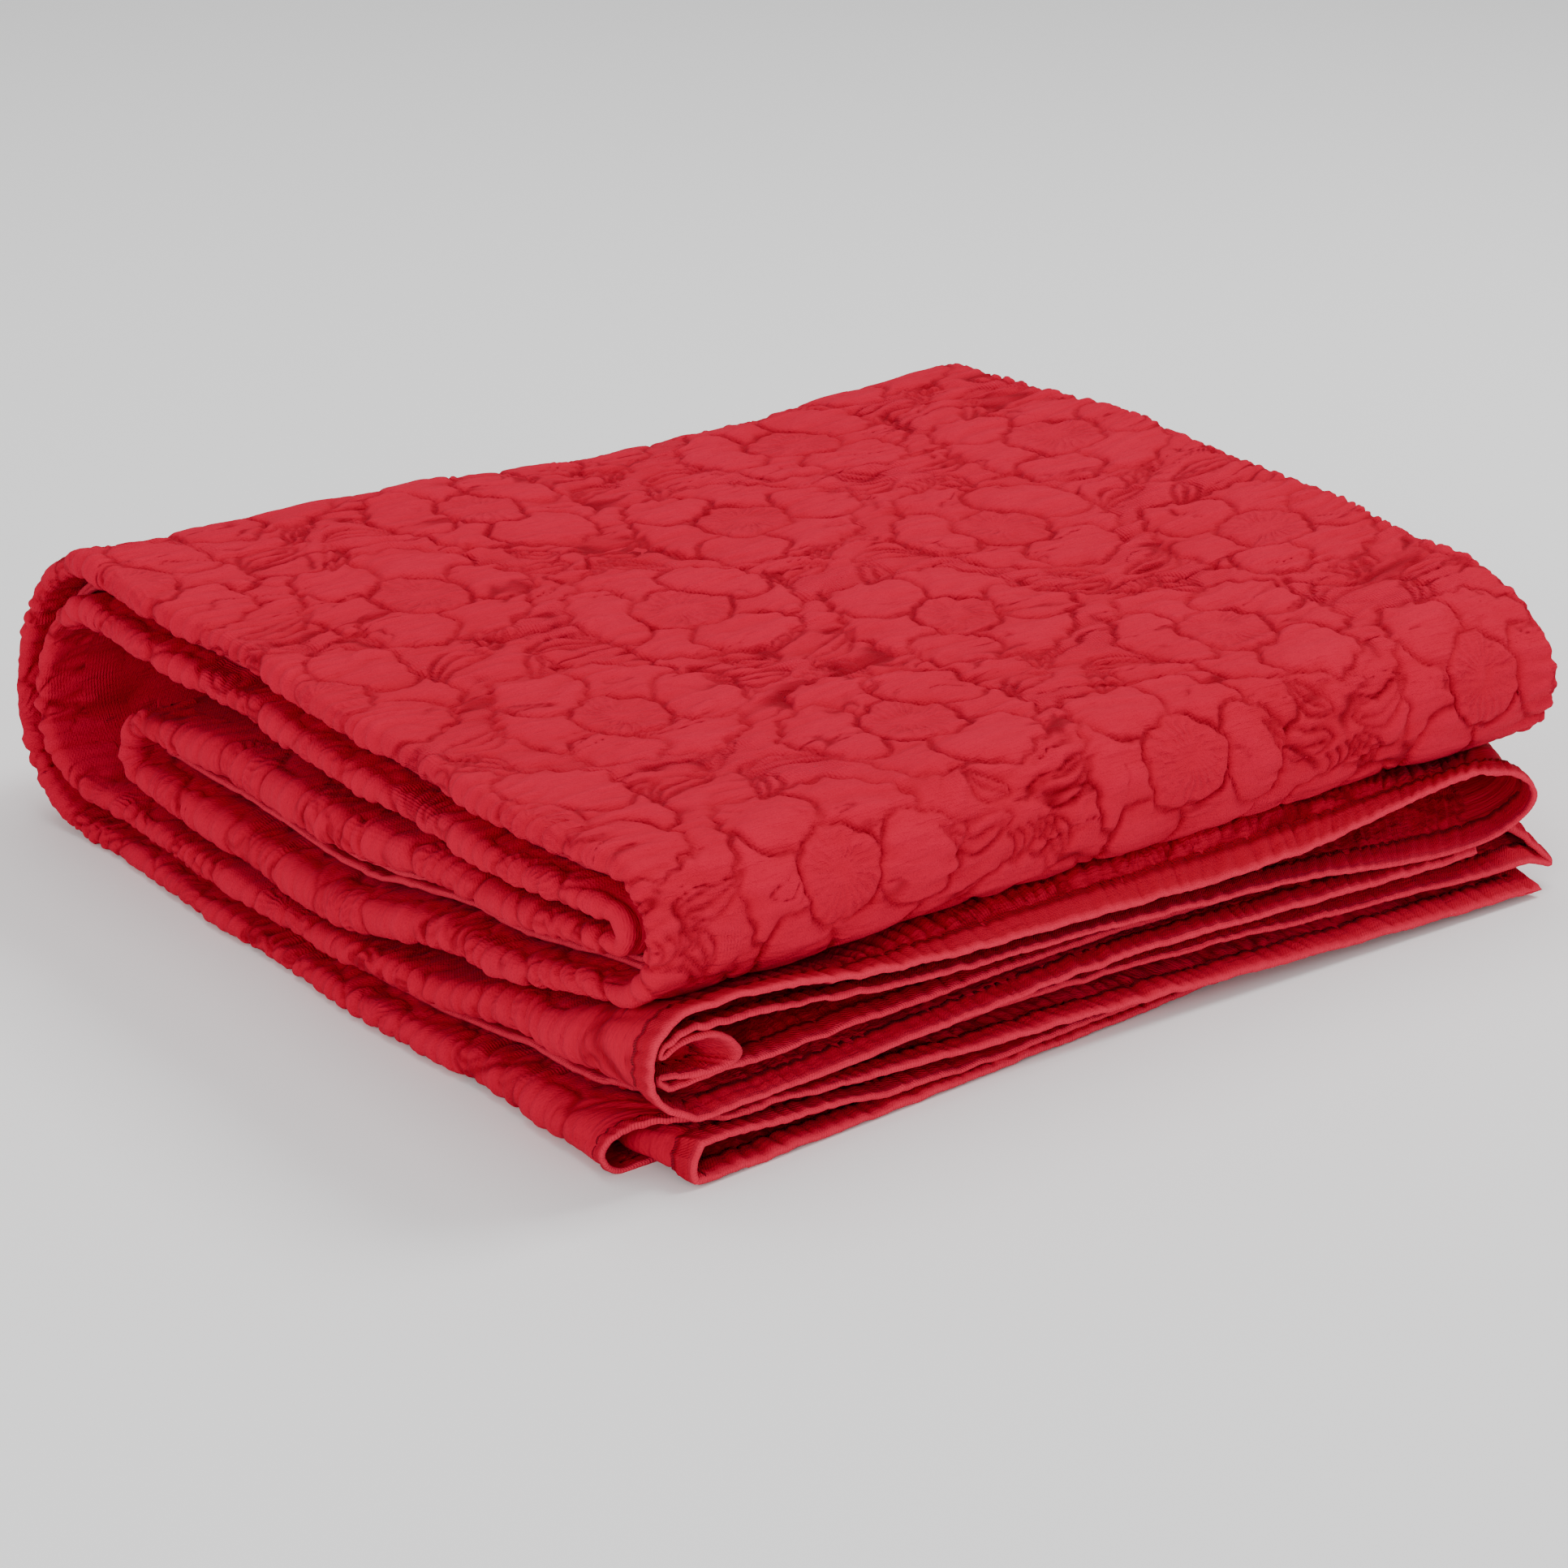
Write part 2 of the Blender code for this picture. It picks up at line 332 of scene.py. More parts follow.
@dataclass
class StripPath:
    """The middle line of the doubled strip, from the front hems round to its inner end.

    Each run is an eased table of heights, and each bend is a half circle between two runs.
    """

    dense: int = 400
    slope_step: float = MILLIMETRE / 10

    def __post_init__(self) -> None:
        """Works out the line and its length."""
        pieces = [
            self._run(BOTTOM_RUN, FRONT, WRAP_Y),
            self._bend(BOTTOM_RUN[-1], TOP_RUN[0], 1),
            self._run(TOP_RUN, WRAP_Y, BEND_Y),
            self._bend(TOP_RUN[-1], MIDDLE_RUN[0], -1),
            self._run(MIDDLE_RUN, BEND_Y, TURN_Y),
        ]
        ends = np.cumsum([len(piece) for piece in pieces]) - 1
        self.rows = np.vstack(pieces)
        steps = np.hypot(*np.diff(self.rows[:, :2], axis=0).T)
        self.along = np.concatenate([[0], np.cumsum(steps)]) + 1e-9 * np.arange(len(self.rows))
        self.wrap_start, self.top_start, self.bend_start, self.middle_start, self.end = self.along[ends]

    def _run(self, rows: tuple[Run, ...], start: float, end: float) -> np.ndarray:
        """One straight run of the strip.

        Args:
            rows: its table.
            start: where it starts along Y.
            end: where it ends.

        Returns:
            A row for each point: place, height, half thickness and the direction to the upper group.
        """
        places = np.linspace(start, end, self.dense)
        heights, halves = smooth_table(rows, places)
        before, _ = smooth_table(rows, places - self.slope_step)
        after, _ = smooth_table(rows, places + self.slope_step)
        slope = (after - before) / (2 * self.slope_step)
        side = math.copysign(1.0, end - start)
        length = np.hypot(1.0, slope)
        return np.column_stack([places, heights, halves, -slope / length * side, side / length])

    def _bend(self, start: Run, end: Run, side: int) -> np.ndarray:
        """A half turn between two runs, without both ends.

        Args:
            start: the end of the run before it.
            end: the start of the run after it.
            side: 1 where it bulges to the back and -1 where it bulges to the front.

        Returns:
            The same values as for a run.
        """
        turn = np.pi * np.arange(1, self.dense) / self.dense
        radius, middle = abs(end.height - start.height) / 2, (end.height + start.height) / 2
        way = math.copysign(1.0, end.height - start.height)
        return np.column_stack([
            start.y + side * radius * np.sin(turn),
            middle - way * radius * np.cos(turn),
            start.half + (end.half - start.half) * turn / np.pi,
            -side * np.sin(turn),
            way * np.cos(turn),
        ])

    def at(self, along: np.ndarray) -> np.ndarray:
        """Place, height, half thickness and direction at these lengths along the line."""
        return np.column_stack([np.interp(along, self.along, column) for column in self.rows.T])


@dataclass
class FoldedSheet:
    """The bedspread's own surface: the strip's passes and folds carried along the strip's path.

    A point is named by its length along the path and by its number across: whole even numbers
    start a pass, whole odd ones start a fold, and nine is the cloth's free left edge.
    """

    PASSES = {Group.UPPER: UPPER_PASSES, Group.LOWER: LOWER_PASSES}
    FOLDS = {Group.UPPER: UPPER_FOLDS, Group.LOWER: LOWER_FOLDS}

    path: StripPath
    last: float = 9.0
    turn_length: float = 0.022
    hem_fade: float = 1.5
    curl_fade: float = 2.0
    hump_height: float = 0.0555

    def __post_init__(self) -> None:
        """Measures the cloth's flat coordinates along one layer in each direction."""
        path = self.path
        self.end = path.end + self.turn_length
        self.across_table = np.linspace(0, self.last, 1801)
        middle_of_top = (path.top_start + path.bend_start) / 2
        line = self.points(Group.LOWER, np.array([middle_of_top]), self.across_table)[0]
        self.width_table = running_length(line)
        centre = np.interp(0.0, line[400:601, 0], self.across_table[400:601])
        self.width_table -= np.interp(centre, self.across_table, self.width_table)
        self.along_table = np.linspace(0, self.end, 1400)
        self.length_table = {}
        for group in Group:
            level = np.array([2.5])
            line = self.points(group, self.along_table, level)[:, 0]
            length = running_length(line)
            on_top = (self.along_table > path.top_start) & (self.along_table < path.bend_start)
            zero = np.interp(0.0, -line[on_top, 1], length[on_top])
            self.length_table[group] = length - zero

    def _strip(self, rows: np.ndarray, along: np.ndarray) -> tuple[np.ndarray, list, tuple]:
        """The strip's sides, which wander a little along it.

        Args:
            rows: the path's values, a row for each length along it.
            along: those lengths.

        Returns:
            The layers' spacing, the two ends of each of the five passes and the reach of each fold.
        """
        left = STRIP_LEFT + 0.0022 * np.sin(23 * along + 0.4) - 0.0014 * np.sin(51 * along)
        right = STRIP_RIGHT + 0.0024 * np.sin(19 * along + 2.0) + 0.0012 * np.sin(47 * along)
        pitch = (rows[:, 2] - CLOTH_THICKNESS / 2) / OUTER_LEVEL
        inner_left = left + pitch + 0.0025
        ends = [
            (left + 1.5 * pitch, right - pitch - 0.006),
            (left + 1.5 * pitch, right - 0.5 * pitch),
            (inner_left + 0.5 * pitch, right - 0.5 * pitch),
            (inner_left + 0.5 * pitch, right - pitch + 0.001),
            (left + 0.012, right - pitch + 0.001),
        ]
        return pitch, ends, (1.5 * pitch, 0.5 * pitch, 0.5 * pitch, pitch)

    def _section(self, group: Group, rows: np.ndarray, along: np.ndarray, across: np.ndarray) -> tuple:
        """The strip's section: a pass is straight, and a fold is half an ellipse between two passes.

        Args:
            group: which half of the strip.
            rows: the path's values, a row for each length along it.
            along: those lengths.
            across: numbers across the cloth.

        Returns:
            Places across, distances from the middle line, the hem's own line from the tables, and the
            power with which that line fades behind the front.
        """
        passes, folds = self.PASSES[group], self.FOLDS[group]
        pitch, ends, reaches = self._strip(rows, along)
        place = np.zeros((len(rows), len(across)))
        away = np.zeros_like(place)
        hem = np.zeros((len(across), 3))
        fade = np.full(len(across), self.hem_fade)
        kind = np.minimum(across.astype(int), 8)
        for number, row in enumerate(passes):
            picked = kind == 2 * number
            part = across[picked] - 2 * number
            part = 1 - part if number % 2 == 0 else part
            low, high = ends[number]
            place[:, picked] = low[:, None] + (high - low)[:, None] * part
            away[:, picked] = row.level * pitch[:, None]
            hem[picked] = np.column_stack([
                row.left + (row.right - row.left) * part,
                row.front_left + (row.front_right - row.front_left) * part,
                through_points(row.heights, part),
            ])
        for number, fold in enumerate(folds):
            picked = kind == 2 * number + 1
            turn = np.pi * (across[picked] - 2 * number - 1)
            ease = (1 - np.cos(turn)) / 2
            first, second = passes[number], passes[number + 1]
            end = 0 if fold.side < 0 else 1
            start_x, finish_x = ends[number][end], ends[number + 1][end]
            place[:, picked] = (
                start_x[:, None] + (finish_x - start_x)[:, None] * ease
                + fold.side * reaches[number][:, None] * np.sin(turn)
            )
            away[:, picked] = (first.level + (second.level - first.level) * ease) * pitch[:, None]
            start, finish = (
                np.array([row[2 + end], row[5 + end], row.heights[-end]]) for row in (first, second)
            )
            bent = start + (finish - start) * ease[:, None]
            bent[:, 0] += fold.side * fold.hem_reach * np.sin(turn)
            for bend in HEM_BENDS:
                if (bend.group, bend.fold) == (group, fold.name):
                    path = (bend.across, bend.fronts, bend.heights)
                    bent = np.column_stack([through_points(values, turn / np.pi) for values in path])
                    if bend.curled:
                        inside = np.clip(6 * np.minimum(turn, np.pi - turn) / np.pi, 0, 1)
                        fade[picked] = self.hem_fade + self.curl_fade * inside
            hem[picked] = bent
        return place, away, hem * MILLIMETRE, fade

    def points(self, group: Group, along: np.ndarray, across: np.ndarray) -> np.ndarray:
        """The cloth's middle surface.

        Args:
            group: which half of the doubled strip.
            along: lengths along the path, one for each row.
            across: numbers across the cloth, one for each column.

        Returns:
            Points of shape (rows, columns, 3): the section laid along the path and turned under at its
            inner end, blended near the front into the hem's own line, then settled and centred. Behind the
            hem the upper half's cover rises in a hump, as it lies over what is folded in under it.
        """
        rows = self.path.at(np.minimum(along, self.path.end))
        place, away, hem, fade = self._section(group, rows, np.minimum(along, self.path.end), across)
        turn = np.clip((along - self.path.end) / self.turn_length, 0, 1)[:, None] * np.pi / 2
        found = np.stack([
            place,
            rows[:, :1] + group.value * away * rows[:, 3:4] * np.cos(turn) + away * np.sin(turn),
            rows[:, 1:2] + group.value * away * rows[:, 4:5] * np.cos(turn),
        ], axis=2)
        station = np.where(along < 2 * FAN_LENGTH, rows[:, 0] - FRONT, FAN_LENGTH)[:, None]
        share = np.clip(1 - station / FAN_LENGTH, 0, 1) ** fade[None, :]
        opened = hem[None] + station[:, :, None] * np.array([0.0, 1.0, 0.0])
        if group is Group.UPPER:
            top = eased((across - 1.6) / 0.4) * (1 - eased((across - 3.0) / 0.4))
            hump = eased(station / 0.017) * (1 - eased((station - 0.024) / 0.034))
            missing = np.maximum(self.hump_height - hem[:, 2], 0)
            opened[..., 2] += hump * top * missing / np.maximum(share, 0.2)
        found = found * (1 - share[..., None]) + opened * share[..., None]
        return self._settle(found) - np.array([*BLOCK_MIDDLE, 0.0])

    def _settle(self, points: np.ndarray) -> np.ndarray:
        """Sags and swells the block gently and leaves the ground flat.

        Args:
            points: the surface before it settles.

        Returns:
            The same points, risen and spread at the sides by the table, more so the higher they lie.
        """
        x, y, z = points[..., 0], points[..., 1], points[..., 2]
        rise = z / BLOCK_HEIGHT
        back = np.clip((y - FRONT) / (2 * -FRONT), 0, 1)
        side = np.abs(x) / STRIP_RIGHT
        lift_left, lift_right, spread_left, spread_right = smooth_table(SETTLED, y)
        swell = 0.0013 * np.sin(13 * x + 0.5) * np.cos(11 * y) + 0.0010 * np.sin(31 * x - 17 * y)
        swell = swell + 0.0045 * back**2 * np.exp(-(((x + 0.100) / 0.090) ** 2))
        lift = np.where(x > 0, lift_right * side**3, lift_left * side**2) * MILLIMETRE
        upward = np.sqrt(np.clip(rise, 0, 1))
        spread = np.where(x > 0, spread_right * upward, -spread_left * (1 - rise)) * MILLIMETRE
        return np.stack([
            x + spread * side**2,
            y + 0.003 * np.sin(15 * x + 1.0) * rise,
            z + (swell + lift) * rise**2,
        ], axis=-1)

    def flat(self, group: Group, along: np.ndarray, across: np.ndarray) -> np.ndarray:
        """Flat cloth coordinates in metres: across the cloth and, backwards from the hem, along it."""
        width = np.interp(across, self.across_table, self.width_table)
        length = -np.interp(along, self.along_table, self.length_table[group])
        return np.stack(np.broadcast_arrays(width[None, :], length[:, None]), axis=2)


@dataclass(frozen=True)
class Flower:
    """One stitched flower of the quilting: uneven petals round a ring, which holds the ribbed middle."""

    centre: tuple[float, float]
    turned: float
    petals: tuple[tuple[float, float], ...]
    ring: float = 0.0180
    notch: float = 0.0415

    def _petal(self, angle: np.ndarray) -> tuple[np.ndarray, np.ndarray]:
        """Which petal lies at each angle, and how far across it from 0 to 1."""
        widths = np.array([width for width, _ in self.petals])
        edges = np.concatenate([[0], np.cumsum(widths)]) * 2 * np.pi / widths.sum()
        place = np.mod(angle - self.turned, 2 * np.pi)
        number = np.clip(np.searchsorted(edges, place, side="right") - 1, 0, len(widths) - 1)
        return number, (place - edges[number]) / (edges[number + 1] - edges[number])

    def outline(self, angle: np.ndarray) -> np.ndarray:
        """Reach of the petals: the notch, and above it a power of a skewed sine across each petal."""
        number, part = self._petal(angle)
        reach = np.array([reach for _, reach in self.petals])[number]
        lobe = np.sin(np.pi * part**1.25) ** 0.60
        ripple = 0.0011 * np.sin(13 * angle + self.turned) + 0.0009 * np.sin(29 * angle)
        return self.notch + (reach - self.notch) * lobe + ripple

    def seams(self, step: float) -> np.ndarray:
        """Points along the stitched lines: the petals' outline, the ring and the bowed lines between."""
        angle = np.linspace(0, 2 * np.pi, int(2 * np.pi * 0.05 / step))
        reach = self.outline(angle)
        ring = self.ring * (1 + 0.05 * np.sin(5 * angle + self.turned) + 0.03 * np.sin(12 * angle))
        found = [
            np.column_stack([reach * np.cos(angle), reach * np.sin(angle)]),
            np.column_stack([ring * np.cos(angle), ring * np.sin(angle)]),
        ]
        widths = np.array([width for width, _ in self.petals])
        for number, edge in enumerate(np.cumsum(widths) * 2 * np.pi / widths.sum() + self.turned):
            out = np.arange(self.ring, self.notch + 0.001, step)
            part = (out - self.ring) / (self.notch - self.ring)
            bow = edge + (0.22 if number % 2 else -0.16) * np.sin(np.pi * part)
            found.append(np.column_stack([out * np.cos(bow), out * np.sin(bow)]))
        return np.vstack(found) + np.array(self.centre)


@dataclass(frozen=True)
class Leaf:
    """One stitched leaf: a pointed outline with a bowed middle rib."""

    root: tuple[float, float]
    turned: float
    length: float
    width: float
    bow: float = 0.12

    def seams(self, step: float) -> np.ndarray:
        """The leaf's stitched lines.

        Args:
            step: spacing of the points.

        Returns:
            Points along the outline, whose half width is a skewed sine of the length, and along the rib.
        """
        part = np.linspace(0, 1, max(8, int(self.length / step)))
        half = self.width / 2 * np.sin(np.pi * part**0.8) ** 0.9
        spine = self.bow * self.length * np.sin(np.pi * part)
        rib = part[part > 0.12]
        outline = [np.column_stack([part * self.length, spine + side * half]) for side in (-1, 1)]
        outline.append(np.column_stack([rib * self.length, self.bow * self.length * np.sin(np.pi * rib)]))
        points = np.vstack(outline)
        cosine, sine = math.cos(self.turned), math.sin(self.turned)
        turned = points @ np.array([[cosine, sine], [-sine, cosine]])
        return turned + np.array(self.root)


@dataclass
class Quilting:
    """The raised design: a brick repeat of flowers and sprigs whose stitched lines draw the cloth down.

    The height at a point depends on its distance to the nearest stitched line of the repeat.
    """

    repeat: tuple[float, float] = (0.156, 0.132)
    origin: tuple[float, float] = (0.022, 0.062)
    cell: float = 0.0008
    step: float = 0.0009
    wide_sway: float = 0.0034
    fine_sway: float = 0.0009
    shake: float = 0.00045
    pad_height: float = 0.0017
    pad_round: float = 0.0013
    line_width: float = 0.0009
    line_depth: float = 0.00070
    crease_depth: float = 0.00110
    thin_depth: float = 0.00055
    drag_height: float = 0.00055
    broad_height: float = 0.00080
    between_height: float = 0.00050
    middle_height: float = 0.00045
    middle_radius: float = 0.0150
    wave_height: float = 0.0006
    sunk: float = 0.0012

    def __post_init__(self) -> None:
        """Charts the repeat and measures the distance to its stitched lines on a fine grid."""
        width, length = self.repeat
        self.flowers = (
            Flower(
                (0.0, 0.0), 0.35,
                ((70, 0.047), (52, 0.050), (66, 0.045), (48, 0.049), (74, 0.046), (50, 0.050)),
            ),
            Flower(
                (width / 2, length / 2), 1.15,
                ((60, 0.050), (76, 0.045), (50, 0.048), (64, 0.050), (46, 0.046), (64, 0.048)),
            ),
        )
        sprigs = self._sprig((width / 2, 0.0), 1.0) + self._sprig((width, length / 2), -1.0)
        self.lines = np.vstack([flower.seams(self.step) for flower in self.flowers] + sprigs)
        self.distance, self.inside = self._chart()

    def _sprig(self, middle: tuple[float, float], flip: float) -> list[np.ndarray]:
        """Two long leaves, two short ones and a row of small scallops.

        Args:
            middle: the middle of the gap between four flowers, which they fill.
            flip: 1 or -1, which turns the sprig over.

        Returns:
            Points along the stitched lines of each.
        """
        x, y = middle
        leaves = [
            Leaf((x - 0.006, y - 0.002 * flip), math.pi - 0.30 * flip, 0.031, 0.0115, 0.16 * flip),
            Leaf((x + 0.005, y + 0.002 * flip), 0.25 * flip, 0.034, 0.0105, -0.14 * flip),
            Leaf((x - 0.004, y + 0.006), math.pi / 2 + 0.75 * flip, 0.021, 0.0100),
            Leaf((x + 0.006, y - 0.006), -math.pi / 2 + 0.65 * flip, 0.023, 0.0100),
        ]
        found = [leaf.seams(self.step) for leaf in leaves]
        turn = np.linspace(-1.25, 1.25, 12)
        for number in range(5):
            radius = 0.0052 - 0.0004 * number
            centre = (x - 0.010 + 0.0050 * number, y - 0.0130 * flip + 0.0012 * number)
            scallop = np.column_stack([radius * np.cos(turn), radius * np.sin(turn)])
            found.append(np.array(centre) + scallop)
        return found

    def _gaps(self, x: np.ndarray, y: np.ndarray, centre: tuple) -> tuple[np.ndarray, np.ndarray]:
        """Offsets from the nearest repeat of a point."""
        width, length = self.repeat
        gap_x, gap_y = x - centre[0], y - centre[1]
        return gap_x - width * np.round(gap_x / width), gap_y - length * np.round(gap_y / length)

    def _chart(self) -> tuple[np.ndarray, np.ndarray]:
        """Distance to the nearest stitched line, and how far inside a flower the repeat's points lie."""
        width, length = self.repeat
        columns, rows = (int(round(side / self.cell)) for side in self.repeat)
        x = (np.arange(columns) + 0.5) * width / columns
        y = (np.arange(rows) + 0.5) * length / rows
        grid_x, grid_y = (values.ravel() for values in np.meshgrid(x, y))
        nearest = np.full(grid_x.shape, np.inf)
        for chunk in np.array_split(self.lines, max(1, len(self.lines) // 60)):
            stitched = chunk[None, :, 0], chunk[None, :, 1]
            gap_x, gap_y = self._gaps(grid_x[:, None], grid_y[:, None], stitched)
            nearest = np.minimum(nearest, np.min(gap_x**2 + gap_y**2, axis=1))
        inside = np.full(grid_x.shape, -1.0)
        for flower in self.flowers:
            gap_x, gap_y = self._gaps(grid_x, grid_y, flower.centre)
            reach = flower.outline(np.arctan2(gap_y, gap_x)) - np.hypot(gap_x, gap_y)
            inside = np.maximum(inside, reach / 0.050)
        return np.sqrt(nearest).reshape(rows, columns), inside.reshape(rows, columns)

    def _read(self, chart: np.ndarray, x: np.ndarray, y: np.ndarray) -> np.ndarray:
        """A chart's value at these places, read between its points and repeated without end."""
        rows, columns = chart.shape
        place_x = x / self.repeat[0] * columns - 0.5
        place_y = y / self.repeat[1] * rows - 0.5
        left, low = np.floor(place_x).astype(int), np.floor(place_y).astype(int)
        part_x, part_y = place_x - left, place_y - low
        low, high = low % rows, (low + 1) % rows
        left, right = left % columns, (left + 1) % columns
        near = chart[low, left] * (1 - part_x) + chart[low, right] * part_x
        far = chart[high, left] * (1 - part_x) + chart[high, right] * part_x
        return near * (1 - part_y) + far * part_y

    def _swayed(self, x: np.ndarray, y: np.ndarray) -> tuple[np.ndarray, np.ndarray]:
        """Places in the repeat, pushed about by noise so that no stitched line runs quite true."""
        wide_x, wide_y = lattice_noise(x / 0.034, y / 0.030, 1), lattice_noise(x / 0.030, y / 0.026, 2)
        fine_x, fine_y = lattice_noise(x / 0.009, y / 0.008, 8), lattice_noise(x / 0.009, y / 0.007, 9)
        shake = self.shake * lattice_noise(x / 0.0034, y / 0.0030, 19)
        sway_x = self.wide_sway * wide_x + self.fine_sway * fine_x
        sway_y = self.wide_sway * wide_y + self.fine_sway * fine_y
        return x - self.origin[0] + sway_x + shake, y - self.origin[1] + sway_y - shake

    def _motif(self, x: np.ndarray, y: np.ndarray, flower: np.ndarray) -> np.ndarray:
        """Offsets from the nearest flower's centre, with the share of ground between the flowers."""
        first_x, first_y = self._gaps(x, y, self.flowers[0].centre)
        second_x, second_y = self._gaps(x, y, self.flowers[1].centre)
        nearer = np.hypot(first_x, first_y) < np.hypot(second_x, second_y)
        offset_x, offset_y = np.where(nearer, first_x, second_x), np.where(nearer, first_y, second_y)
        return np.stack([offset_x, offset_y, 1 - flower], axis=-1)

    def _creases(
        self, x: np.ndarray, y: np.ndarray, drift: np.ndarray, flower: np.ndarray, middle: np.ndarray
    ) -> tuple[np.ndarray, np.ndarray, np.ndarray]:
        """Wavy creases along the zero lines of two noises that are stretched across the cloth.

        Args:
            x: places across the repeat.
            y: places along it.
            drift: how far the creases are pushed along the cloth.
            flower: share of flower at each place, where the wide creases are weaker.
            middle: share of a flower's middle, where none are.

        Returns:
            The wide creases, the thin ones and a distance to the nearest of either.
        """
        wide_noise = lattice_noise((x + 0.25 * y) / 0.031, (y + drift) / 0.0074, 17)
        patchy = lattice_noise(x / 0.019, y / 0.013, 18)
        wide = np.exp(-((wide_noise / 0.12) ** 2)) * (0.30 + 0.70 * (1 - flower)) * (1 - middle)
        wide = wide * np.clip(0.75 + 0.9 * patchy, 0, 1.2)
        shallow = 1 - np.clip((0.25 + 0.75 * (1 - flower)) * (0.8 + 0.9 * patchy), 0, 1)
        to_wide = 0.0090 * np.abs(wide_noise) + 0.0030 * shallow + 0.003 * middle
        thin_noise = lattice_noise((x + 0.2 * y) / 0.018, (y + drift) / 0.0043, 25)
        thin_share = np.clip(0.35 + 1.0 * lattice_noise(x / 0.023, y / 0.011, 26), 0, 1)
        thin_share = thin_share * (1 - 0.8 * middle)
        thin = np.exp(-((thin_noise / 0.16) ** 2)) * thin_share
        to_thin = 0.0080 * np.abs(thin_noise) + 0.0024 * (1 - thin_share) + 0.0003
        return wide, thin, np.minimum(to_wide, to_thin)

    def relief(self, x: np.ndarray, y: np.ndarray) -> tuple[np.ndarray, np.ndarray, np.ndarray]:
        """Height of the quilting, depth of its lines and place in the design.

        Pads rise from the stitched lines as one less an exponential of the distance, and the lines are
        narrow troughs of uneven depth. Creases cross the cloth, most of them between the flowers, and
        fine puckers run the same way everywhere.

        Args:
            x: flat coordinates across the cloth, in metres.
            y: flat coordinates along it.

        Returns:
            Height, the distance to the nearest line, and for each point its offsets from the nearest
            flower's centre with the share of ground between the flowers, all in metres but that share.
        """
        x, y = self._swayed(x, y)
        gap = self._read(self.distance, x, y)
        flower = eased(self._read(self.inside, x, y) / 0.05 + 0.5)
        uneven = 0.70 + 0.42 * lattice_noise(x / 0.013, y / 0.011, 10)
        pad = self.pad_height * (1 - np.exp(-gap / self.pad_round)) + 0.055 * np.minimum(gap, 0.010)
        line = np.exp(-((gap / self.line_width) ** 2)) * np.clip(uneven, 0.2, 1.1)
        motif = self._motif(x, y, flower)
        middle = np.exp(-((np.hypot(motif[..., 0], motif[..., 1]) / self.middle_radius) ** 4))
        drift = 0.005 * lattice_noise(x / 0.024, y / 0.020, 3)
        drift = drift + 0.0012 * lattice_noise(x / 0.007, y / 0.007, 16)
        crease, thin, to_crease = self._creases(x, y, drift, flower, middle)
        # Distance to the nearest stitched line or crease, where the shader mixes in the deep colour: partly
        # dye and partly painted shade at the stitching, painted shade in the creases.
        to_line = np.minimum(gap + 0.0013 * np.clip(1 - uneven, 0, 1), to_crease)
        drag = lattice_noise((x + 0.3 * y) / 0.021, (y + 0.6 * drift) / 0.0028, 4)
        broad = lattice_noise((x - 0.1 * y) / 0.028, (y + drift) / 0.0056, 5)
        between = lattice_noise(x / 0.0105, (y + 2 * drift) / 0.0034, 6)
        height = (
            pad * (0.75 + 0.25 * flower) * (1 - 0.45 * middle)
            + (self.drag_height * drag + self.broad_height * broad) * (1 - 0.7 * middle)
            + self.between_height * between * (1 - flower)
            + self.middle_height * between * middle
            - self.line_depth * line
            - self.crease_depth * crease
            - self.thin_depth * thin
            + self.wave_height * lattice_noise(x / 0.05, y / 0.05, 7)
        )
        return height - self.sunk, to_line, motif


@dataclass(frozen=True)
class Block:
    """A grid of cloth: its points, outward normals, flat coordinates and the finish's masks."""

    points: np.ndarray
    normals: np.ndarray
    flat: np.ndarray
    seam: np.ndarray
    wear_and_shade: np.ndarray
    motif: np.ndarray
    outward: bool

    def rows(self, picked: slice) -> "Block":
        """The same grid with only these rows."""
        grids = (self.points, self.normals, self.flat, self.seam, self.wear_and_shade, self.motif)
        return Block(*(grid[picked] for grid in grids), self.outward)


def grid_normals(points: np.ndarray, way: int) -> np.ndarray:
    """Unit normals of a grid of points, from the cross product of its two directions."""
    rows = np.gradient(points, axis=0)
    columns = np.gradient(points, axis=1)
    cross = np.cross(columns, rows) * way
    return cross / np.maximum(np.linalg.norm(cross, axis=2, keepdims=True), 1e-12)


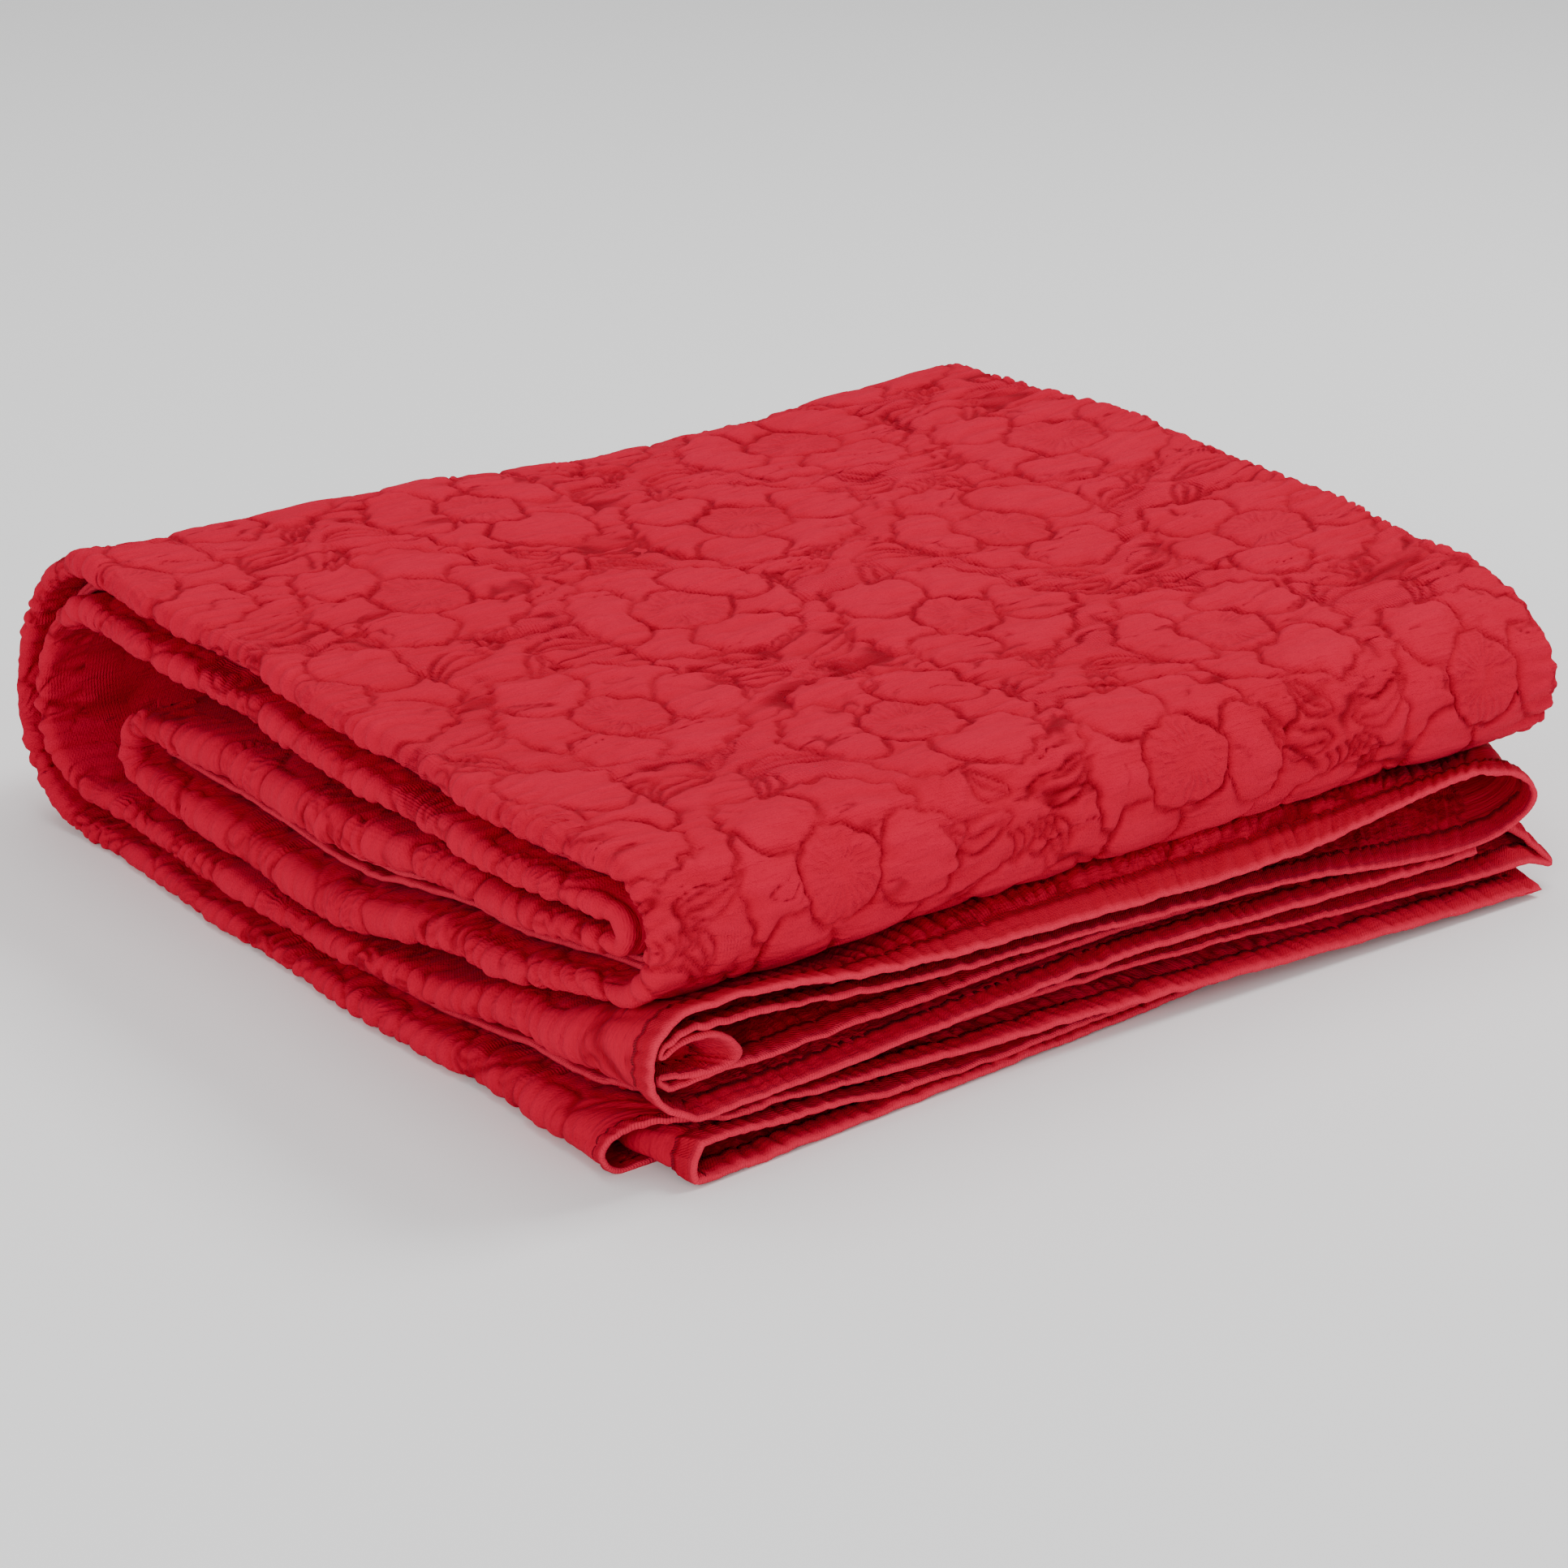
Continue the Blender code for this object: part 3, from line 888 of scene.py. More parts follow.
@dataclass(frozen=True)
class Cloth:
    """Turns stretches of the folded sheet into quilted, gathered blocks of surface."""

    sheet: FoldedSheet
    quilting: Quilting
    fold_starts: tuple[int, ...] = (1, 3, 5, 7)
    fold_reach: float = 0.045
    gather: float = 0.0016
    gather_spacing: float = 0.0082
    fine_spacing: float = 0.0041
    hem_gather: float = 0.0026
    hem_gather_reach: float = 0.024
    wear_and_shade_depth: float = 0.0030

    def _fold_share(self, across: np.ndarray) -> np.ndarray:
        """1 on a fold, falling to 0 within a few centimetres of it."""
        gaps = [np.maximum(0, np.maximum(start - across, across - start - 1)) for start in self.fold_starts]
        return np.exp(-((np.min(gaps, axis=0) / self.fold_reach) ** 2))

    def _side(self, across: np.ndarray) -> np.ndarray:
        """Which face of the cloth looks out of each fold: the inner left fold shows the back."""
        return 1 - 2 * eased((across - 4.4) / 0.2) * (1 - eased((across - 6.4) / 0.2))

    def block(self, group: Group, along: np.ndarray, across: np.ndarray, relief: float = 1.0) -> Block:
        """A stretch of the sheet with its relief.

        The middle surface is moved along its normal by the quilting, by gathers that run across each fold
        and by gathers that run back from the hem's stitching.

        Args:
            group: which half of the strip.
            along: lengths along the path.
            across: numbers across the cloth.
            relief: share of the relief that shows.

        Returns:
            The finished block.
        """
        base = self.sheet.points(group, along, across)
        normals = grid_normals(base, group.value)
        flat = self.sheet.flat(group, along, across)
        x, y = flat[..., 0], flat[..., 1]
        fold = self._fold_share(across)[None, :]
        station = along[:, None]
        near_hem = np.exp(-(((station - HEM_WIDTH) / self.hem_gather_reach) ** 2)) * (station > 0)
        height, seam, motif = self.quilting.relief(x, y)
        sway = lattice_noise(x / 0.040, y / 0.034, 11) + 0.5 * lattice_noise(x / 0.017, y / 0.019, 12)
        rib = np.abs(np.sin(np.pi * y / self.gather_spacing + 3.6 * sway)) ** 0.7 - 0.6
        fine_rib = np.abs(np.sin(np.pi * y / self.fine_spacing + 3.0 * sway + 9 * x)) - 0.6
        strength = 0.72 + 0.62 * lattice_noise(x / 0.05, y / 0.027, 13)
        rib = rib + 0.34 * fine_rib
        under_hem = eased((0.0125 - station) / 0.002)
        gathered = self.gather * strength * rib * fold * (1 - near_hem)
        height = height * (1 - 0.45 * fold) * (1 - 0.6 * near_hem) + gathered
        height = height + self.hem_gather * hem_gathers(x, y) * near_hem * (1 - under_hem)
        height = height * (1 - 0.8 * under_hem) * relief * self._side(across)[None, :]
        points = base + normals * height[..., None]
        points[..., 2] = np.maximum(points[..., 2], CLOTH_THICKNESS / 4)
        # Relief height as a mask: the faded colour on high pads is wear, and the deep colour on low parts is
        # painted shade.
        wear_and_shade = np.clip(0.5 + height / self.wear_and_shade_depth, 0, 1)
        normals = grid_normals(points, group.value)
        return Block(points, normals, flat, seam, wear_and_shade, motif, group is Group.UPPER)


@dataclass(frozen=True)
class HemBand:
    """A turned hem: a band of doubled cloth with a round edge, sewn down along its inner side.

    Its section is a flat tube, thickest just inside the edge and thinned to the cloth at the stitching.
    """

    width: float = HEM_WIDTH
    half: float = 0.00120
    pucker: float = 0.0019
    pucker_start: float = 0.0040
    stitch_from_seam: float = 0.0016
    wander: float = 0.00080
    edge_points: int = 5
    flat_points: int = 7

    def section(self) -> tuple[np.ndarray, np.ndarray]:
        """Distances in from the edge and offsets from the middle surface, once round the band."""
        turn = np.linspace(-np.pi / 2, np.pi / 2, self.edge_points)
        edge = self.half - self.half * np.cos(turn)
        inward = np.linspace(self.half, self.width, self.flat_points)[1:]
        thinned = self.half * (1 - 0.5 * eased((inward - self.width + 0.0022) / 0.0022))
        thinned = thinned - 0.00035 * np.exp(-(((inward - self.width + self.stitch_from_seam) / 0.0007) ** 2))
        distance = np.concatenate([edge, inward, inward[::-1]])
        offset = np.concatenate([self.half * np.sin(turn), thinned, -thinned[::-1]])
        return distance, offset

    def block(self, surface: Callable, edge: np.ndarray, flat: np.ndarray, way: bool) -> Block:
        """The band along an edge of the sheet, puckered more and more towards its stitching.

        Args:
            surface: gives points and normals for distances in from the edge, one row for each.
            edge: places along the edge that the surface takes.
            flat: length along the edge at each place, in metres.
            way: whether the band's faces come out facing outward as built.

        Returns:
            A closed tube of surface with its two ends drawn together.
        """
        distance, offset = self.section()
        points, normals = surface(distance, edge)
        pucker = hem_gathers(flat[None, :] + 0 * distance[:, None], 0 * flat[None, :] - distance[:, None])
        reach = (0.25 + 0.75 * eased(distance / self.pucker_start))[:, None]
        points = points + normals * (self.pucker * reach * pucker)[..., None]
        swell = 1 + 0.22 * lattice_noise(flat / 0.0075, flat * 0 + 0.5, 21)
        ends = np.minimum(1, np.minimum(flat - flat[0], flat[-1] - flat) / 0.0012) ** 0.5
        points = points + normals * (offset[:, None] * swell[None, :] * ends[None, :])[..., None]
        wander = self.wander * lattice_noise(flat / 0.0085, flat * 0 + 1.5, 22)
        points = points + normals * wander[None, :, None]
        points[..., 2] = np.maximum(points[..., 2], 0.0)
        points = np.concatenate([points, points[:1]])
        around = np.concatenate([distance, [-0.001]])[:, None] + 0 * flat[None, :]
        uv = np.stack([flat[None, :] + 0 * around, around + 0.3], axis=2)
        # Rolled-edge mask: the shader makes the edge paler, partly rubbed wear and partly painted light, and
        # gives the rest of the band painted shade.
        wear_and_shade = np.exp(-((np.concatenate([distance, distance[:1]]) / 0.0016) ** 2))[:, None] + 0 * around
        seam = np.abs(around - self.width + self.stitch_from_seam)
        far = np.stack([around * 0 + 1, around * 0 + 1, around * 0], axis=2)
        return Block(points, grid_normals(points, 1 if way else -1), uv, seam, wear_and_shade, far, way)


def between_rows(rows: np.ndarray, steps: np.ndarray, places: np.ndarray) -> np.ndarray:
    """A grid's rows, known at even steps, read straight between them at other places."""
    index = np.clip(places / steps[1], 0, len(steps) - 1.001)
    low = index.astype(int)
    part = (index - low)[:, None, None]
    return rows[low] * (1 - part) + rows[low + 1] * part


def surface_object(
    name: str, blocks: list[Block], material: bpy.types.Material, own_normals: bool
) -> bpy.types.Object:
    """Makes one object of several grids of cloth.

    Args:
        name: the piece's name.
        blocks: its grids.
        material: its finish.
        own_normals: whether it keeps the grids' own normals, so that its rim shades like its neighbour's.

    Returns:
        The new object, with its flat coordinates as a UV map in metres and its masks as attributes.
    """
    corners, quads, start = [], [], 0
    for block in blocks:
        rows, columns = block.points.shape[:2]
        numbers = np.arange(rows * columns).reshape(rows, columns) + start
        ring = (numbers[:-1, :-1], numbers[:-1, 1:], numbers[1:, 1:], numbers[1:, :-1])
        quads.append(np.stack(ring if block.outward else ring[::-1], axis=2).reshape(-1, 4))
        corners.append(block.points.reshape(-1, 3))
        start += rows * columns
    faces = np.concatenate(quads).astype(np.int32)
    points = np.concatenate(corners).astype(np.float32)
    mesh = bpy.data.meshes.new(name)
    mesh.vertices.add(len(points))
    mesh.vertices.foreach_set("co", points.ravel())
    mesh.loops.add(faces.size)
    mesh.loops.foreach_set("vertex_index", faces.ravel())
    mesh.polygons.add(len(faces))
    mesh.polygons.foreach_set("loop_start", np.arange(0, faces.size, 4, dtype=np.int32))
    mesh.update(calc_edges=True)
    flat = np.concatenate([block.flat.reshape(-1, 2) for block in blocks]).astype(np.float32)
    layer = mesh.uv_layers.new(name="flat_cloth")
    layer.data.foreach_set("uv", flat[faces.ravel()].ravel())
    for attribute, values in (("seam", [b.seam for b in blocks]), ("wear_and_shade", [b.wear_and_shade for b in blocks])):
        stored = mesh.attributes.new(attribute, "FLOAT", "POINT")
        stored.data.foreach_set("value", np.concatenate([v.ravel() for v in values]).astype(np.float32))
    motif = np.concatenate([block.motif.reshape(-1, 3) for block in blocks]).astype(np.float32)
    mesh.attributes.new("motif", "FLOAT_VECTOR", "POINT").data.foreach_set("vector", motif.ravel())
    mesh.polygons.foreach_set("use_smooth", np.ones(len(faces), bool))
    if own_normals:
        normals = np.concatenate([block.normals.reshape(-1, 3) for block in blocks])
        mesh.normals_split_custom_set_from_vertices(normals.tolist())
    mesh.materials.append(material)
    piece = bpy.data.objects.new(name, mesh)
    bpy.context.scene.collection.objects.link(piece)
    return piece


class Value:
    """A shader socket that Python's own arithmetic works on: each expression adds its Math nodes."""

    def __init__(self, nodes: "Nodes", socket: bpy.types.NodeSocket) -> None:
        """Keeps the socket and the tree that it is in."""
        self.nodes = nodes
        self.socket = socket

    def _math(self, operation: str, *values: "Value | float") -> "Value":
        """One Math node on these values."""
        return self.nodes.add("ShaderNodeMath", {"operation": operation}, dict(enumerate(values)))

    def __add__(self, other: "Value | float") -> "Value":
        """Sum."""
        return self._math("ADD", self, other)

    def __mul__(self, other: "Value | float") -> "Value":
        """Product."""
        return self._math("MULTIPLY", self, other)

    def __sub__(self, other: "Value | float") -> "Value":
        """Difference."""
        return self._math("SUBTRACT", self, other)

    def __rsub__(self, other: "Value | float") -> "Value":
        """Difference the other way round."""
        return self._math("SUBTRACT", other, self)

    def power(self, exponent: float) -> "Value":
        """The value to this power."""
        return self._math("POWER", self, exponent)

    def sine(self) -> "Value":
        """The sine of the value."""
        return self._math("SINE", self)

    def exponential(self) -> "Value":
        """The natural exponential of the value."""
        return self._math("EXPONENT", self)

    def least(self, other: "Value | float") -> "Value":
        """The smaller of two values."""
        return self._math("MINIMUM", self, other)

    def most(self, other: "Value | float") -> "Value":
        """The larger of two values."""
        return self._math("MAXIMUM", self, other)


class Nodes:
    """The node tree of one material."""

    def __init__(self, material: bpy.types.Material) -> None:
        """Takes the material's tree and its shader."""
        material.use_nodes = True
        self.tree = material.node_tree
        self.shader = self.tree.nodes["Principled BSDF"]

    def add(self, kind: str, settings: dict, values: dict, output: str | int = 0) -> Value:
        """Adds a node.

        Args:
            kind: the node's type.
            settings: its properties, set first.
            values: what its input sockets hold or are linked to, by name or number.
            output: which output is wanted.

        Returns:
            That output, wrapped.
        """
        node = self.tree.nodes.new(kind)
        for name, setting in settings.items():
            setattr(node, name, setting)
        for name, value in values.items():
            self.feed(node.inputs[name], value)
        return Value(self, node.outputs[output])

    def feed(self, socket: bpy.types.NodeSocket, value: "Value | float | tuple") -> None:
        """Links a value to a socket, or sets a plain one."""
        if isinstance(value, Value):
            self.tree.links.new(value.socket, socket)
        else:
            socket.default_value = value

    def mix(self, share: "Value | float", first: "Value | tuple", second: "Value | tuple") -> Value:
        """A mix of two colours."""
        return self.add(
            "ShaderNodeMix", {"data_type": "RGBA", "clamp_factor": True}, {0: share, 6: first, 7: second}, 2
        )

    def attribute(self, name: str, output: str = "Fac") -> Value:
        """A number or vector stored at the mesh's points."""
        return self.add("ShaderNodeAttribute", {"attribute_name": name}, {}, output)

    def stretched(self, vector: Value, across: float, along: float) -> Value:
        """A place scaled differently across and along the cloth."""
        return self.add("ShaderNodeMapping", {}, {"Vector": vector, "Scale": (across, along, 1.0)})

    def parts(self, vector: Value) -> tuple[Value, Value, Value]:
        """The three parts of a vector."""
        node = self.tree.nodes.new("ShaderNodeSeparateXYZ")
        self.feed(node.inputs[0], vector)
        return tuple(Value(self, output) for output in node.outputs)

    def noise(self, place: Value, scale: float, detail: float) -> Value:
        """Fractal noise, from 0 to 1."""
        return self.add(
            "ShaderNodeTexNoise", {}, {"Vector": place, "Scale": scale, "Detail": detail, "Roughness": 0.6}
        )


@dataclass(frozen=True)
class WashedCotton:
    """Stonewashed cotton: dark along the stitched lines and creases, partly dye and partly painted shade,
    darker in the hollows by painted shade, paler where the pads stand up, with a fine twill.
    """

    name: str = "washed red cotton"
    deep_dye_and_shade: tuple = (0.200, 0.0015, 0.0070, 1)
    body: tuple = (0.440, 0.0030, 0.0220, 1)
    faded: tuple = (0.540, 0.0062, 0.0370, 1)
    rubbed_lit_edge: tuple = (0.680, 0.0300, 0.0680, 1)
    roughness: float = 0.92
    sheen: float = 0.05
    twill_spacing: float = 0.00105
    twill_depth: float = 0.00003
    rib_spacing: float = 0.00125
    rib_depth: float = 0.00016
    slub_depth: float = 0.00016
    drag_depth: float = 0.00150
    grain_depth: float = 0.00030
    line_width: float = 0.00110
    line_depth: float = 0.00060
    fan_ribs: float = 21.0
    fan_depth: float = 0.00026
    mottle_depth: float = 0.00030
    sheen_roughness: float = 0.5
    sheen_tint: tuple = (1.0, 0.12, 0.22, 1)
    specular: float = 0.06
    edge_rub_and_light: float = 0.0

    def make(self) -> bpy.types.Material:
        """Builds the material on the cloth's flat coordinates.

        Colour goes from the body colour to the faded one by the height of the relief, mottled by wide and
        narrow noise. The deep colour darkens the stitched lines, partly dye and partly painted shade. It is
        painted shade in the creases, in the low parts of the relief, across the hem band away from its edge
        and in the troughs of the fanned ribs. Where the edge mix is set, the hem's rolled edge is paler,
        partly rubbed wear and partly painted light. The bump is a twill of slanted lines, a fine cord along
        the cloth between the flowers, slubs across it, and ribs that fan round each flower's centre: the
        cosine of a multiple of the angle, bent by the radius.

        Returns:
            The material.
        """
        material = bpy.data.materials.new(self.name)
        nodes = Nodes(material)
        flat = nodes.add("ShaderNodeUVMap", {"uv_map": "flat_cloth"}, {})
        across, along, _ = nodes.parts(flat)
        motif_x, motif_y, ground = nodes.parts(nodes.attribute("motif", "Vector"))
        wear_and_shade, gap = nodes.attribute("wear_and_shade"), nodes.attribute("seam") * (1 / self.line_width)
        line = (gap * gap * -1.0).exponential()
        broad = nodes.noise(flat, 22.0, 3.0)
        mottle = nodes.noise(flat, 170.0, 4.0)
        slub = nodes.noise(nodes.stretched(flat, 150.0, 1100.0), 1.0, 2.0)
        drag = nodes.noise(nodes.stretched(flat, 42.0, 310.0), 1.0, 3.0)
        grain = nodes.noise(flat, 1100.0, 1.0)
        radius = (motif_x * motif_x + motif_y * motif_y).power(0.5)
        angle = nodes.add("ShaderNodeMath", {"operation": "ARCTAN2"}, {0: motif_y, 1: motif_x})
        fan = (angle * self.fan_ribs + radius * 200.0 + mottle * 8.0 + broad * 18.0).sine()
        outer = (radius * -160.0 + 3.3).most(0.0).least(1.0)
        inner = (radius * 200.0 - 0.6).most(0.0).least(1.0)
        patchy = (nodes.noise(flat, 75.0, 2.0) * 3.2 - 0.95).most(0.12).least(1.0)
        window = outer * inner * (1.0 - ground) * patchy
        wave = 2 * math.pi / self.twill_spacing
        twill = (across * wave + along * wave * 0.75 + mottle * 2.2).sine()
        cord = (across * (2 * math.pi / self.rib_spacing) + broad * 6.0).sine()
        cord_share = (broad * 5.0 - 2.3).most(0.0).least(1.0) * (ground * 0.8 + 0.2)
        fade = wear_and_shade * 0.55 + mottle * 0.45 + broad * 0.45 + drag * 0.50 - 0.62
        colour = nodes.mix(fade, self.body, self.faded)
        # Painted shade: the deep colour where the relief is low, and in the troughs of the ribs fanned round
        # each flower's middle.
        low = (0.30 - wear_and_shade) * 0.6
        painted_fan_shade = (fan * -0.5 + 0.1) * window * 0.30
        # Deep colour along the stitched lines and creases, partly dye and partly painted shade, combined with
        # the painted shade of the hollows and rib troughs.
        colour = nodes.mix((line * 0.85).most(low).most(painted_fan_shade), colour, self.deep_dye_and_shade)
        # The hem's rolled edge is paler: partly rubbed wear, partly painted light that brightens the hems.
        if self.edge_rub_and_light:
            colour = nodes.mix(wear_and_shade * self.edge_rub_and_light * (mottle + 0.35), colour, self.rubbed_lit_edge)
        speckle = (slub - 0.5) * 0.40 + (grain - 0.5) * 0.30 + (twill + 1.0) * 0.02 + cord * cord_share * 0.10
        colour = nodes.mix(speckle, colour, self.faded)
        height = twill * self.twill_depth + cord * cord_share * self.rib_depth + slub * self.slub_depth
        height = height + drag * self.drag_depth + grain * self.grain_depth
        height = height + mottle * self.mottle_depth + fan * window * self.fan_depth - line * self.line_depth
        normal = nodes.add(
            "ShaderNodeBump", {}, {"Strength": 1.0, "Distance": 1.0, "Height": height}, "Normal"
        )
        nodes.feed(nodes.shader.inputs["Base Color"], colour)
        nodes.feed(nodes.shader.inputs["Normal"], normal)
        nodes.feed(nodes.shader.inputs["Roughness"], self.roughness)
        nodes.feed(nodes.shader.inputs["Sheen Weight"], self.sheen)
        nodes.feed(nodes.shader.inputs["Sheen Roughness"], self.sheen_roughness)
        nodes.feed(nodes.shader.inputs["Sheen Tint"], self.sheen_tint)
        nodes.feed(nodes.shader.inputs["Specular IOR Level"], self.specular)
        return material


@dataclass
class Bedspread:
    """The whole folded sheet, as pieces whose joins lie where the folds hide them."""

    cloth: Cloth
    plain: bpy.types.Material
    edged: bpy.types.Material
    fold_tail: float = 0.045
    front_length: float = 0.058
    join: float = 0.0015
    pass_step: float = 0.0046
    fold_steps: tuple[float, ...] = (0.028, 0.030, 0.0165, 0.045)
    side_steps: tuple[float, float] = (0.00125, 0.0018)
    cover_cut: float = 0.150

    def _declare(self, piece: bpy.types.Object, blocks: list[Block], with_pieces: list) -> bpy.types.Object:
        """Makes a piece ride on the block in place of its hidden solid, and logs its faces and flat area.

        Args:
            piece: the object.
            blocks: its grids, whose flat areas add up to its own.
            with_pieces: not used.

        Returns:
            The same object.
        """
        area = 0.0
        for block in blocks:
            ends = block.flat[[0, -1]][:, [0, -1]]
            area += abs((ends[0, 1, 0] - ends[0, 0, 0]) * (ends[1, 0, 1] - ends[0, 0, 1]))
        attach(piece, BODY)
        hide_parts(NODE)
        LOG.info("%s: %d faces, %.3f m2", piece.name, len(piece.data.polygons), area)
        return piece

    def cover(self) -> None:
        """The outermost pass where it shows most: round the back, over the top and down the front bend."""
        path = self.cloth.sheet.path
        across = graded((0.953, 1, 0.0042), (1, 2, 0.048), (2, 3, 0.00290), (3, 4, 0.085), (4, 4.045, 0.0042))
        along = graded(
            (path.wrap_start - 0.012, path.top_start, 0.0015),
            (path.top_start, path.bend_start, 0.00118),
            (path.bend_start, path.middle_start + 0.010, 0.00066),
        )
        whole = self.cloth.block(Group.LOWER, along, across)
        cut = int(np.searchsorted(along, path.top_start + self.cover_cut))
        for name, rows in (("cover_back", slice(0, cut + 1)), ("cover_front", slice(cut, None))):
            block = whole.rows(rows)
            self._declare(surface_object(name, [block], self.plain, True), [block], [])

    def underside(self) -> None:
        """The ground layer under the block, and its part inside the middle run."""
        path = self.cloth.sheet.path
        across = graded((1.9, 2.1, 0.006), (2.1, 2.9, 0.010), (2.9, 3.1, 0.006))
        blocks = [
            self.cloth.block(Group.LOWER, graded((self.front_length, path.wrap_start, 0.0032)), across),
            self.cloth.block(
                Group.LOWER, graded((path.middle_start, self.cloth.sheet.end, 0.0080)),
                graded((1.9, 2.1, 0.02), (2.1, 2.9, 0.04), (2.9, 3.1, 0.02)), 0.3,
            ),
        ]
        self._declare(surface_object("ground_layer", blocks, self.plain, False), blocks, [])

    def folds(self) -> None:
        """The rounded folds down both sides, one piece for each side of each half of the strip."""
        sheet = self.cloth.sheet
        path = sheet.path
        sides = (("left", (1, 5)), ("right", (3, 7)))
        for group in Group:
            for (side, numbers), step in zip(sides, self.side_steps):
                whole = [(self.front_length - self.join, sheet.end, step)]
                outer = [
                    (self.front_length - self.join, path.wrap_start - 0.010, step),
                    (path.middle_start + 0.008, sheet.end, step),
                ]
                blocks = []
                for number in numbers:
                    across = graded(
                        (number - self.fold_tail, number, 0.0060),
                        (number, number + 1, 0.065 if number == 1 else 0.10),
                        (number + 1, number + 1 + self.fold_tail, 0.0060),
                    )
                    covered = group is Group.LOWER and number in (1, 3)
                    for stretch in outer if covered else whole:
                        blocks.append(self.cloth.block(group, graded(stretch), across))
                name = f"{group.name.lower()}_{side}_folds"
                self._declare(surface_object(name, blocks, self.plain, False), blocks, [])

    def inner_layers(self) -> None:
        """The flat parts of the hidden passes between the folds."""
        sheet = self.cloth.sheet
        inset = self.fold_tail * 0.7
        for group in Group:
            blocks = []
            for number in range(5):
                if group is Group.LOWER and number == 1:
                    continue
                low = 2 * number + (0.004 if number == 0 else inset)
                high = 2 * number + 1 - (0.004 if number == 4 else inset)
                blocks.append(self.cloth.block(
                    group, graded((self.front_length - self.join, sheet.end, 0.014)),
                    graded((low, high, 0.040)), 0.2,
                ))
            piece = surface_object(f"{group.name.lower()}_inner_layers", blocks, self.plain, False)
            self._declare(piece, blocks, [self._side_hem(group)])

    def front(self) -> None:
        """The layers' front ends with their turned hems, fanned a little and gathered behind them."""
        for group in Group:
            stretches = []
            for number in range(9):
                step = self.pass_step if number % 2 == 0 else self.fold_steps[number // 2]
                stretches.append((number, number + 1, step))
            across = graded(*stretches)
            block = self.cloth.block(group, graded((0.0022, self.front_length, 0.0018)), across)
            hem = self._front_hem(group, across)
            name = group.name.lower()
            band = surface_object(f"{name}_front_hem", [hem], self.edged, False)
            self._dress_hem(band)
            cloth = surface_object(f"{name}_front_cloth", [block], self.plain, False)
            self._declare(cloth, [block], [band])

    def _dress_hem(self, band: bpy.types.Object) -> None:
        """A hem rides with the block, the block's solid is hidden, and the hem's faces are logged."""
        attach(band, BODY)
        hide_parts(NODE)
        LOG.info("%s: %d faces", band.name, len(band.data.polygons))

    def _front_hem(self, group: Group, across: np.ndarray) -> Block:
        """The hem along the front edge of one half of the strip."""
        sheet = self.cloth.sheet

        def surface(distance: np.ndarray, edge: np.ndarray) -> tuple[np.ndarray, np.ndarray]:
            """Points and normals of the sheet at these distances behind its front edge."""
            points = sheet.points(group, HEM_STEPS, edge)
            normals = grid_normals(points, group.value)
            return between_rows(points, HEM_STEPS, distance), between_rows(normals, HEM_STEPS, distance)

        line = sheet.points(group, np.array([0.0]), across)[0]
        return HemBand().block(surface, across, running_length(line), group is Group.LOWER)

    def _side_hem(self, group: Group) -> bpy.types.Object:
        """The hems along both free sides of one half of the strip, from the front to its inner end.

        Args:
            group: which half.

        Returns:
            Both hems as one object.
        """
        sheet = self.cloth.sheet
        along = graded((0.0, FAN_LENGTH, 0.002), (FAN_LENGTH, sheet.end, 0.004))
        blocks = []
        for start, way in ((0.0, 1), (sheet.last, -1)):
            def surface(distance: np.ndarray, edge: np.ndarray) -> tuple[np.ndarray, np.ndarray]:
                """Points and normals of the sheet at these distances in from its free side."""
                across = start + way * HEM_STEPS / PASS_WIDTH
                points = sheet.points(group, edge, across[::way])
                normals = grid_normals(points, group.value)
                points, normals = (values.transpose(1, 0, 2)[::way] for values in (points, normals))
                return between_rows(points, HEM_STEPS, distance), between_rows(normals, HEM_STEPS, distance)

            blocks.append(HemBand().block(surface, along, along, (group is Group.LOWER) == (way < 0)))
        band = surface_object(f"{group.name.lower()}_side_hems", blocks, self.edged, False)
        self._dress_hem(band)
        return band

    def build(self) -> None:
        """Builds every piece in order."""
        self.cover()
        self.underside()
        self.folds()
        self.inner_layers()
        self.front()


class Lamp(NamedTuple):
    """A square soft light that faces the block: its place and side in metres, and its power in watts."""

    name: str
    place: tuple[float, float, float]
    size: float
    power: float


